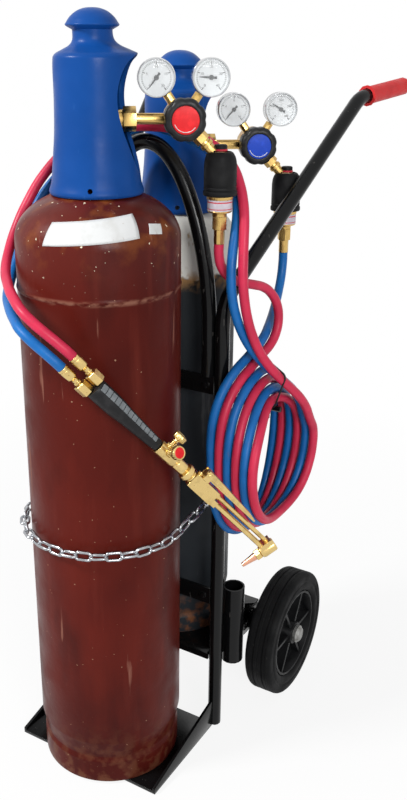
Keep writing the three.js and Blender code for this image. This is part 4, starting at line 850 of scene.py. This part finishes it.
def make_pointer(name, kind, side):
    """The broad tailed pointer of a gauge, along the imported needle."""
    place = gas_place(name) @ Matrix.Translation((REGULATOR_X + side * GAUGE_SIDE, 0, GAUGE_RISE)) @ FACING
    needle = NODES[f"{name}_gauge_{kind}_needle"]
    tip = max((place.inverted() @ corner.co for corner in needle.data.vertices), key=lambda spot: spot.xy.length)
    place = place @ Matrix.Rotation(math.atan2(tip.y, tip.x), 4, "Z")
    half = [(-0.0064, 0.0016), (-0.0026, 0.0011), (0.007, 0.001), (tip.xy.length, 0.0003)]
    outline = half + [(along, -across) for along, across in reversed(half)]
    bm = bmesh.new()
    ends = [[bm.verts.new(place @ Vector((*spot, rise))) for spot in outline] for rise in POINTER_RISE]
    for ring in ends:
        bm.faces.new(ring)
    for i in range(len(outline)):
        bm.faces.new([ends[0][i - 1], ends[0][i], ends[1][i], ends[1][i - 1]])
    hub = POINTER_RISE[1] + 0.0004
    spin(bm, [(0, POINTER_RISE[0]), (0.0028, POINTER_RISE[0]), (0.0028, hub), (0.0024, hub + 0.0003), (0, hub + 0.0003)],
         place, 32)
    publish(bm, f"{name}_{kind}_hand", [INK], f"{name}_{kind}_pointer", "black_plastic",
            f"{name}_gauge_{kind}_needle")


def knob_lobe(angle, radius):
    if radius < KNOB_FACE + 0.002:
        return 1.0
    return 1 - 0.055 * (0.5 + 0.5 * math.cos(KNOB_LOBES * angle)) ** 3


def make_regulator_knob(name, disc):
    place = gas_place(name) @ Matrix.Translation((REGULATOR_X, 0, 0)) @ FACING
    bm = bmesh.new()
    spin(bm, [(0, 0.0065), (0.0195, 0.0065), (0.0226, 0.0076), (0.0244, 0.0096), (0.025, 0.0125), (0.025, 0.0265),
              (0.0245, 0.0291), (0.023, 0.0311), (0.0205, 0.0322), (0.0178, 0.0325), (0.0168, 0.0323),
              (KNOB_FACE, 0.0318), (KNOB_FACE, 0.0308)], place, 160, 0, knob_lobe)
    spin(bm, [(KNOB_FACE, 0.0308), (0.0158, 0.0313), (0.011, 0.0317), (0, 0.0319)], place, 96, 1)
    band = [math.radians(200 + 4 * i) for i in range(32)]
    wire(bm, [place @ Vector((0.0135 * math.cos(a), 0.0135 * math.sin(a), 0.0315)) for a in band], 0.00042, 8, False, 2)
    publish(bm, f"{name}_adjusting_knob", [KNOB_PLASTIC, disc, PALE_PRINT], f"{name}_regulator_screw",
            "black_plastic", f"{name}_regulator_knob")


def knurl(angle, radius):
    return 1.0 + (0.006 if math.cos(KNURL_TEETH * angle) > 0 else -0.006)


def make_arrestor(name):
    place = gas_place(name) @ Matrix.Translation((ARRESTOR_X, 0, 0))
    bm = bmesh.new()
    spin(bm, [(0, -0.0302), (0.0064, -0.0302), (0.0074, -0.0308), (0.0078, -0.0318), (0.0078, -0.0352)], place, 48, 1)
    spin(bm, [(0.0078, -0.0352), (0.0084, -0.0356), (0.0084, -0.0374), (0.0078, -0.0378), (0, -0.0378)], place, 48, 2)
    spin(bm, [(0, -0.04), (0.0108, -0.04), (0.0108, -0.0908), (0.0156, -0.0908), (0.016, -0.0914)], place, 96)
    spin(bm, [(0.016, -0.0914), (0.016, -0.0944), (0.0156, -0.095)], place, 192, 0, knurl)
    spin(bm, [(0.0156, -0.095), (0.0152, -0.0952), (0.0155, -0.0956), (0.0155, -0.0972)], place, 96, 3)
    spin(bm, [(0.0155, -0.0972), (0.0155, -0.0986)], place, 96, 2)
    spin(bm, [(0.0155, -0.0986), (0.0155, -0.1056)], place, 96, 3)
    spin(bm, [(0.0155, -0.1056), (0.0155, -0.1066)], place, 96, 2)
    spin(bm, [(0.0155, -0.1066), (0.0155, -0.1082), (0.0152, -0.1086)], place, 96, 3)
    spin(bm, [(0.0152, -0.1086), (0.0154, -0.109), (0.0148, -0.1104), (0.0138, -0.111), (0.0094, -0.1122),
              (0.009, -0.113), (0.009, -0.116), (0, -0.116)], place, 96)
    outlet = gas_place(name) @ Matrix.Translation((REGULATOR_X, 0, 0)) @ OUTLET_TURN
    spin(bm, [(0, 0.0265), (0.0086, 0.0265), (0.0092, 0.0272), (0.0092, 0.0358), (0.0086, 0.0365), (0, 0.0365)],
         outlet, 6)
    spin(bm, [(0, 0.0395), (0.0078, 0.0395), (0.0082, 0.04), (0.0082, 0.0435), (0.0078, 0.044), (0, 0.044)], outlet, 48)
    publish(bm, f"{name}_arrestor_core", [BRASS, BOOT_RUBBER, RED_PRINT, BAND], "cart", "brass", f"{name}_arrestor")
    bm = bmesh.new()
    skin = eased([(0.0118, -0.0384), (0.0135, -0.0386), (0.0156, -0.0402), (0.0176, -0.0434), (0.0191, -0.0476),
                  (0.0198, -0.0524), (0.02, -0.057), (0.02, -0.079)], 4)
    skin += [(0.0196, -0.0797), (0.02, -0.0804), (0.02, -0.0828), (0.0195, -0.0834), (0.0195, -0.0842),
             (0.0205, -0.0849), (0.0208, -0.0858), (0.0208, -0.0893), (0.0203, -0.0903), (0.0118, -0.0905)]
    spin(bm, skin + skin[:1], place, 96)
    publish(bm, f"{name}_arrestor_sleeve", [BOOT_RUBBER], "cart", "boot_rubber", f"{name}_arrestor_boot")


def make_gas_sets():
    sets = (("front", RED_DISC, ("0", "5", "10", "15", "20"), ("0", "10", "20", "30", "40")),
            ("rear", BLUE_DISC, ("0", "4", "8", "12", "16"), ("0", "100", "200", "300", "400")))
    for name, disc, outlet, content in sets:
        for kind, side, numbers in (("outlet", -1, outlet), ("bottle", 1, content)):
            make_gauge(name, kind, side, numbers)
            make_pointer(name, kind, side)
        make_regulator_knob(name, disc)
        make_arrestor(name)


# Wheels


def make_tyres():
    half = [(0.0994, 0), (0.1, 0.0008), (0.1, 0.0058), (0.0977, 0.0072), (0.0976, 0.0075), (0.0977, 0.0078),
            (0.1, 0.0092), (0.1, 0.0128), (0.0994, 0.0132), (0.1, 0.0137)]
    half += eased([(0.1, 0.0156), (0.0992, 0.0182), (0.0974, 0.0204), (0.0948, 0.0217), (0.0916, 0.022)], 4)
    half += [(0.087, 0.022), (0.0862, 0.0214), (0.0836, 0.0212), (0.0828, 0.0218)]
    half += eased([(0.079, 0.022), (0.0756, 0.0217), (0.073, 0.0206), (0.0712, 0.0188), (0.0703, 0.0168)], 4)
    mirrored = [(radius, -away) for radius, away in reversed(half[1:])]
    outline = mirrored + half
    for name, side in (("right", 1), ("left", -1)):
        place = Matrix.Translation((side * WHEEL_X, WHEEL_Y, WHEEL_RADIUS)) @ ALONG_X
        bm = bmesh.new()
        spin(bm, outline + outline[:1], place, 160)
        publish(bm, f"{name}_tyre_tread", [TYRE_RUBBER], f"wheel_{name}", "tyre_rubber", f"tyre_{name}")


# Chain


def make_arch():
    """The bent tube that stands on the upper crossbar."""
    pulls = [(ARCH_LEG, ARCH_SHOULDER), (ARCH_LEG, ARCH_SHOULDER + ARCH_RISE), (ARCH_CROWN, ARCH_TOP), (0, ARCH_TOP)]
    bend = interpolate_bezier(*[Vector((across, ARCH_DEPTH, height)) for across, height in pulls], 28)
    half = [Vector((ARCH_LEG, ARCH_DEPTH, ARCH_FOOT)), *bend]
    other = [Vector((-spot.x, spot.y, spot.z)) for spot in half[-2::-1]]
    bm = bmesh.new()
    wire(bm, half + other, TUBE_RADIUS, 28)
    publish(bm, "arch_bend", [FRAME_PAINT], "cart", "black_paint", "arch_tube")


def chain_places():
    away = math.hypot(*CHAIN_PEG)
    touch = math.atan2(CHAIN_PEG[1], CHAIN_PEG[0]) - math.acos(CHAIN_RING / away)
    run = math.sqrt(away * away - CHAIN_RING * CHAIN_RING)
    whole = 2 * run + (math.pi + 2 * touch) * CHAIN_RING
    lean = (-math.sin(touch), math.cos(touch))
    for i in range(CHAIN_LINKS):
        far = CHAIN_SEAT + (whole - 2 * CHAIN_SEAT) * i / (CHAIN_LINKS - 1)
        free = (run - min(far, whole - far)) / (run - CHAIN_SEAT)
        angle = min(max(touch - (far - run) / CHAIN_RING, -math.pi - touch), touch)
        left = max(run - far, far - (whole - run), 0)
        side = 1 if far < whole / 2 else -1
        x = CHAIN_RING * math.cos(angle) + side * lean[0] * left
        y = CHAIN_RING * math.sin(angle) + lean[1] * left
        tilt = math.atan2(CHAIN_RISE, run - CHAIN_SEAT) if free > 0 else 0
        heading = math.atan2(lean[1], side * lean[0]) if free > 0 else angle + math.pi / 2
        place = Matrix.Translation((x, y + AXIS["front"], CHAIN_HEIGHT + CHAIN_RISE * max(0, free)))
        place = place @ Matrix.Rotation(heading, 4, "Z") @ Matrix.Rotation(-tilt, 4, "Y")
        yield place @ Matrix.Rotation(math.pi / 2 * (i % 2), 4, "X")


def make_chain():
    bend = LINK_WIDTH / 2 - LINK_WIRE
    straight = LINK_INSIDE / 2 + LINK_WIRE - bend
    path = []
    for end in (1, -1):
        for i in range(9):
            angle = math.pi * (i / 8 - 0.5)
            path.append(Vector((end * (straight + bend * math.cos(angle)), end * bend * math.sin(angle), 0)))
    bm = bmesh.new()
    for place in chain_places():
        wire(bm, [place @ point for point in path], LINK_WIRE, 12, True)
    publish(bm, "welded_chain", [ZINC], "cart", "zinc_steel", "chain")


# Torch


def make_torch():
    place = Matrix.Translation(TORCH_PLACE) @ TORCH_TURN.to_4x4()
    make_torch_grip(place)
    make_torch_valves(place)
    make_cutting_head(place)
    for name, side in (("red", 1), ("blue", -1)):
        spot = place @ Matrix.Translation((0, 0, side * TAIL_SPACING)) @ ALONG_X
        bm = bmesh.new()
        spin(bm, [(0, -0.0162), (0.0076, -0.0162), (0.0086, -0.0154), (0.0086, -0.0012), (0.0076, -0.0004),
                  (0, -0.0004)], spot, 6)
        spin(bm, [(0, -0.0443), (0.0064, -0.0443), (0.0067, -0.0439), (0.0067, -0.0414), (0.0063, -0.041),
                  (0.0063, -0.0398), (0.0067, -0.0394), (0.0067, -0.0286), (0.0062, -0.0278), (0.005, -0.0256),
                  (0.0038, -0.0248), (0.0036, -0.0206), (0.0048, -0.02), (0.0048, -0.018), (0.0038, -0.0174),
                  (0.0038, -0.016), (0, -0.016)], spot, 40)
        publish(bm, f"torch_{name}_union", [TORCH_BRASS], "cart", "brass", f"torch_{name}_tail", bevel=0.0003)


def make_torch_grip(place):
    bm = bmesh.new()
    grip = eased([(0, 0.0002), (0.0112, 0.0002), (0.0127, 0.0014), (0.0133, 0.0055), (0.0133, 0.0265),
                  (0.0124, 0.042), (0.0109, 0.056), (0.0097, 0.076), (0.0085, 0.096), (0.008, 0.104), (0.0077, 0.108),
                  (0.007, 0.1098), (0, 0.1098)], 4)
    spin(bm, grip, place @ ALONG_X, 72)
    for i in range(STRIP_BARS):
        along = STRIP_START + STRIP_PITCH * i
        behind, ahead = next(pair for pair in zip(grip, grip[1:]) if pair[0][1] <= along < pair[1][1])
        share = (along - behind[1]) / (ahead[1] - behind[1])
        reach = behind[0] + (ahead[0] - behind[0]) * share
        half = STRIP_SHARE * reach
        tilt = math.atan2(behind[0] - ahead[0], ahead[1] - behind[1])
        spot = place @ Matrix.Rotation(STRIP_TURN, 4, "X") @ Matrix.Translation((along, 0, reach))
        spot = spot @ Matrix.Rotation(tilt, 4, "Y")
        slab(bm, (-STRIP_BAR / 2, -half, -0.004), (STRIP_BAR / 2, half, STRIP_PROUD), spot, 1)
    publish(bm, "torch_grip", [KNOB_PLASTIC, STRIP], "cart", "black_plastic", "torch_handle", bevel=0.0004)


def make_torch_valves(place):
    bm = bmesh.new()
    spin(bm, eased([(0, 0.1105), (0.0088, 0.1105), (0.0094, 0.1112), (0.0095, 0.1128)], 3)
         + eased([(0.0092, 0.124), (0.0089, 0.1385), (0.0083, 0.141), (0.0068, 0.1422)], 3)
         + eased([(0.0066, 0.1432), (0.0075, 0.1442), (0.008, 0.146), (0.008, 0.1565), (0.0074, 0.159)], 3)
         + eased([(0.0066, 0.1602), (0.0098, 0.1606), (0.0107, 0.1614)], 3), place @ ALONG_X, 96)
    spin(bm, [(0.0107, 0.1614), (0.0107, 0.1668)], place @ ALONG_X, 192, 0, knurl)
    spin(bm, eased([(0.0107, 0.1668), (0.0102, 0.1678), (0.0084, 0.1684), (0.0072, 0.1694)], 3)
         + eased([(0.007, 0.1704), (0.0082, 0.1712), (0.0082, 0.1724), (0.0072, 0.1733), (0, 0.1733)], 3),
         place @ ALONG_X, 96)
    for spot in (OXYGEN_TAP, FUEL_TAP):
        spin(bm, [(0, 0.004), (0.006, 0.004), (0.006, 0.0118), (0.0053, 0.0126), (0, 0.0126)], place @ spot, 6)
        spin(bm, [(0, 0.012), (0.0044, 0.012), (0.0044, 0.015), (0.004, 0.0155), (0, 0.0155)], place @ spot, 32)
    publish(bm, "torch_valve_body", [TORCH_BRASS], "cart", "brass", "torch_valve_block", bevel=0.0003)
    stem = [(0, 0), (0.0044, 0), (0.0044, 0.0014), (0.0032, 0.0022), (0.0032, 0.0056), (0.0078, 0.0058), (0.0085, 0.0064)]
    ribbed = [(0.0085, 0.0064), (0.0088, 0.007), (0.0088, 0.0126), (0.0085, 0.0132)]
    crown = [(0.0085, 0.0132), (0.0079, 0.0138), (0.0069, 0.0138), (0.0066, 0.0134)]
    for name, tap, disc in (("oxygen", OXYGEN_TAP, TORCH_BRASS), ("fuel", FUEL_TAP, RED_DISC)):
        spot = place @ tap @ TAP_SEAT
        bm = bmesh.new()
        spin(bm, stem, spot, 48)
        spin(bm, ribbed, spot, 144, 0, torch_rib)
        spin(bm, crown, spot, 48)
        spin(bm, [(0.0066, 0.0134), (0.0062, 0.0136), (0.004, 0.0138), (0, 0.0138)], spot, 48, 1)
        publish(bm, f"torch_{name}_tap", [TORCH_BRASS, disc], f"{name}_spindle", "brass", f"torch_{name}_knob")


def make_cutting_head(place):
    bm = bmesh.new()
    slab(bm, (BODY_START, -0.008, -0.0105), (BODY_END, 0.008, 0.009), place)
    slab(bm, (BODY_END - 0.001, -0.0075, -0.0095), (BODY_END + 0.008, 0.0075, -0.0012), place)
    for side in (1, -1):
        slab(bm, (PIVOT[0] - 0.005, min(side * 0.0055, side * 0.008), 0.008),
             (PIVOT[0] + 0.005, max(side * 0.0055, side * 0.008), 0.022), place)
    spin(bm, [(0, -0.0088), (0.0024, -0.0088), (0.0028, -0.0084), (0.0028, -0.0078), (0.002, -0.0078),
              (0.002, 0.0078), (0.0028, 0.0078), (0.0028, 0.0084), (0.0024, 0.0088), (0, 0.0088)],
         place @ Matrix.Translation((PIVOT[0], 0, PIVOT[1])) @ FACING, 24)
    spin(bm, [(0, 0.0085), (0.0042, 0.0085), (0.0046, 0.0092), (0.0046, 0.0114), (0.004, 0.0122), (0.0022, 0.0122),
              (0.002, 0.0112), (0, 0.0112)], place @ Matrix.Translation((BODY_START + 0.0055, 0, 0)), 32)
    for across, up in TUBE_PLACES:
        ends = [place @ Vector((along, across, up)) for along in (BODY_END - 0.002, HEAD_PLACE.translation.x)]
        wire(bm, ends, 0.003, 20)
    spin(bm, [(0, BODY_END - 0.001), (0.0046, BODY_END - 0.001), (0.0046, BODY_END + 0.0045),
              (0.004, BODY_END + 0.0055), (0, BODY_END + 0.0055)],
         place @ Matrix.Translation((0, 0, TUBE_PLACES[0][1])) @ ALONG_X, 24)
    head = place @ HEAD_PLACE
    slab(bm, (-0.0115, -0.0078, -0.0088), (0.002, 0.0078, 0.0078), head)
    spin(bm, eased([(0, -0.012), (0.0072, -0.012), (0.0082, -0.0106), (0.009, -0.0085)], 3)
         + eased([(0.009, 0.0072), (0.0084, 0.009), (0.0066, 0.0098), (0, 0.01)], 3), head, 40)
    publish(bm, "torch_cutting_body", [TORCH_BRASS], "cart", "brass", "cutting_attachment", bevel=0.0007)
    bm = bmesh.new()
    spin(bm, [(0, -0.0123), (0.0068, -0.0123), (0.0075, -0.013), (0.0075, -0.0197), (0.0068, -0.0203), (0, -0.0203)],
         head, 6)
    spin(bm, eased([(0, -0.02), (0.0048, -0.02), (0.005, -0.0225), (0.0043, -0.0275), (0.0036, -0.034),
                    (0.003, -0.0405), (0.0024, -0.0413), (0.001, -0.0413), (0.0008, -0.038), (0, -0.038)], 3),
         head, 40, 1)
    publish(bm, "torch_tip", [TORCH_BRASS, COPPER], "cart", "copper", "cutting_nozzle", bevel=0.0003)


def torch_rib(angle, radius):
    return 1 - 0.05 * (0.5 + 0.5 * math.cos(TAP_RIBS * angle))


# Small things


def strands_at_tie():
    """Where the gathered turns and the leads pass the tie's plane, as (x, z)."""
    found = []
    for side, lead in ((1, RED_LEAD_POINTS), (-1, BLUE_LEAD_POINTS)):
        for path in (coil_run(side, 15), [Vector(point) for point in lead]):
            for before, after in zip(path, path[1:]):
                if (before.y - TIE_PLANE) * (after.y - TIE_PLANE) <= 0:
                    spot = before.lerp(after, (TIE_PLANE - before.y) / (after.y - before.y))
                    if TIE_HEIGHTS[0] < spot.z < TIE_HEIGHTS[1]:
                        found.append((spot.x, spot.z))
    return found


def make_hose_tie():
    """A thin band drawn tight round the gathered strands, with its twisted ends below."""
    reach = 1.08 * HOSE_RADIUS + TIE_WIRE
    turns = [2 * math.pi * i / 48 for i in range(48)]
    rims = [(x + reach * math.cos(a), z + reach * math.sin(a)) for x, z in strands_at_tie() for a in turns]
    rims.sort()
    halves = []
    for points in (rims, rims[::-1]):
        half = []
        for x, z in points:
            while len(half) > 1 and ((half[-1][0] - half[-2][0]) * (z - half[-2][1])
                                     <= (half[-1][1] - half[-2][1]) * (x - half[-2][0])):
                half.pop()
            half.append((x, z))
        halves += half[:-1]
    bm = bmesh.new()
    wire(bm, [(x, TIE_PLANE, z) for x, z in halves], TIE_WIRE, 8, True)
    x, z = min(halves, key=lambda spot: spot[1])
    for side in (1, -1):
        curl = [(x + side * 0.0012 * math.cos(2.2 * i), TIE_PLANE - 0.0006 * i, z - 0.0018 * i) for i in range(9)]
        wire(bm, curl, 0.8 * TIE_WIRE, 8)
    publish(bm, "hose_tie", [KNOB_PLASTIC], "cart", "black_plastic")


def dress_solids():
    dress(FRAME_PAINT, "tray", "rear_shelf", "upper_crossbar", "lower_crossbar", bevel=0.0008)
    dress(FRAME_PAINT, "upright_right", "upright_left", "rod_holder", "hose_hook")
    dress(GRIP_RUBBER, "grip_right", "grip_left")
    dress(DULL_STEEL, "axle", "axle_cap_right", "axle_cap_left")
    dress(HUB_PLASTIC, "hub_right", "hub_left", bevel=0.0008)
    for name in AXIS:
        dress(BRASS, f"{name}_valve", f"{name}_regulator", f"{name}_hose_tail", bevel=0.0006)
        dress(KNOB_PLASTIC, f"{name}_handwheel", bevel=0.001)
    dress(TORCH_BRASS, "cutting_lever", bevel=0.0005)


# Camera, floor and light


def make_camera():
    data = bpy.data.cameras.new("camera")
    data.lens = CAMERA_LENS
    data.shift_x = CAMERA_SHIFT[0]
    data.shift_y = CAMERA_SHIFT[1]
    data.clip_start = 0.01
    camera = bpy.data.objects.new("camera", data)
    camera.location = CAMERA_PLACE
    camera.rotation_euler = (math.radians(90 - CAMERA_PITCH), 0, math.radians(CAMERA_YAW))
    bpy.context.collection.objects.link(camera)
    bpy.context.scene.camera = camera


def area_light(name, place, aim, size, power):
    data = bpy.data.lights.new(name, "AREA")
    data.size = size
    data.energy = power
    light = bpy.data.objects.new(name, data)
    light.location = place
    light.rotation_euler = (Vector(aim) - Vector(place)).to_track_quat("-Z", "Y").to_euler()
    bpy.context.collection.objects.link(light)


def seen_rays(tree):
    """1 for rays that show the background: straight from the camera, off gloss or through glass."""
    path = tree.nodes.new("ShaderNodeLightPath")
    total = path.outputs["Is Camera Ray"]
    for name in ("Is Glossy Ray", "Is Transmission Ray"):
        add = tree.nodes.new("ShaderNodeMath")
        add.operation = "MAXIMUM"
        tree.links.new(total, add.inputs[0])
        tree.links.new(path.outputs[name], add.inputs[1])
        total = add.outputs["Value"]
    return total


def floor_look():
    material = bpy.data.materials.new("floor")
    material.use_nodes = True
    tree = material.node_tree
    shader = tree.nodes["Principled BSDF"]
    shader.inputs["Base Color"].default_value = (0.8, 0.8, 0.8, 1)
    shader.inputs["Roughness"].default_value = 0.9
    shader.inputs["Specular IOR Level"].default_value = 0.0
    glow = tree.nodes.new("ShaderNodeEmission")
    glow.inputs["Strength"].default_value = 1.0
    away = tree.nodes.new("ShaderNodeVectorMath")
    away.operation = "LENGTH"
    tree.links.new(tree.nodes.new("ShaderNodeTexCoord").outputs["Object"], away.inputs[0])
    fade = tree.nodes.new("ShaderNodeMapRange")
    fade.inputs["From Min"].default_value = FLOOR_NEAR
    fade.inputs["From Max"].default_value = FLOOR_FAR
    fade.inputs["To Min"].default_value = FLOOR_GLOW
    tree.links.new(away.outputs["Value"], fade.inputs["Value"])
    share = tree.nodes.new("ShaderNodeMath")
    share.operation = "MULTIPLY"
    tree.links.new(fade.outputs["Result"], share.inputs[1])
    tree.links.new(seen_rays(tree), share.inputs[0])
    mix = tree.nodes.new("ShaderNodeMixShader")
    tree.links.new(share.outputs["Value"], mix.inputs["Fac"])
    tree.links.new(shader.outputs["BSDF"], mix.inputs[1])
    tree.links.new(glow.outputs["Emission"], mix.inputs[2])
    tree.links.new(mix.outputs["Shader"], tree.nodes["Material Output"].inputs["Surface"])
    return material


def make_stage():
    mesh = bpy.data.meshes.new("floor")
    mesh.from_pydata([(-6, -6, 0), (6, -6, 0), (6, 6, 0), (-6, 6, 0)], [], [(0, 1, 2, 3)])
    mesh.materials.append(floor_look())
    floor = bpy.data.objects.new("floor", mesh)
    bpy.context.collection.objects.link(floor)
    world = bpy.data.worlds.new("studio")
    world.use_nodes = True
    tree = world.node_tree
    background = tree.nodes["Background"]
    background.inputs["Color"].default_value = (1, 1, 1, 1)
    level = tree.nodes.new("ShaderNodeMapRange")
    level.inputs["To Min"].default_value = WORLD_LIGHT
    level.inputs["To Max"].default_value = 1.0
    tree.links.new(seen_rays(tree), level.inputs["Value"])
    tree.links.new(level.outputs["Result"], background.inputs["Strength"])
    bpy.context.scene.world = world
    area_light("key", (-1.5, -1.9, 2.8), (0, 0, 0.5), 0.6, 108)
    area_light("fill", (2.3, -1.9, 1.7), (0, 0, 0.5), 1.1, 56)
    bpy.context.scene.view_settings.view_transform = "Standard"


make_camera()
make_hoses()
make_stage()

FRAME_PAINT = frame_paint()
FUEL_PAINT = fuel_paint()
OXYGEN_PAINT = oxygen_paint()
CAP_PLASTIC = cap_plastic()
TYRE_RUBBER = tyre_rubber()
HUB_PLASTIC = hub_plastic()
BOOT_RUBBER = boot_rubber()
GRIP_RUBBER = grip_rubber()
BRASS = brass_look("valve_brass", (0.66, 0.44, 0.15), 0.26)
TORCH_BRASS = brass_look("torch_brass", (0.74, 0.54, 0.22), 0.22)
COPPER = brass_look("tip_copper", (0.74, 0.38, 0.25), 0.26)
ZINC = zinc_plate()
DULL_STEEL = dull_steel()
BEZEL = bezel_steel()
DIAL = dial_card()
INK = small_plastic("dial_ink", (0.008, 0.008, 0.009))
GLASS = gauge_glass()
KNOB_PLASTIC = small_plastic("knob_plastic", (0.01, 0.01, 0.011), 0.34)
RED_DISC = small_plastic("disc_red", (0.62, 0.012, 0.016), 0.3)
BLUE_DISC = small_plastic("disc_blue", (0.008, 0.05, 0.42), 0.3)
RED_PRINT = small_plastic("print_red", (0.5, 0.03, 0.05))
PALE_PRINT = small_plastic("print_pale", (0.6, 0.6, 0.6))
BAND = small_plastic("band_pale", (0.5, 0.45, 0.5))
STRIP = small_plastic("strip_grey", (0.16, 0.175, 0.185))
LABEL_FILM = label_film()

dress_solids()
make_bottles()
dome_patch("shoulder_label", LABEL_CORNERS)
dome_patch("shoulder_sticker", STICKER_CORNERS)
make_caps()
make_gas_sets()
make_tyres()
make_arch()
make_chain()
make_torch()
make_hose_tie()
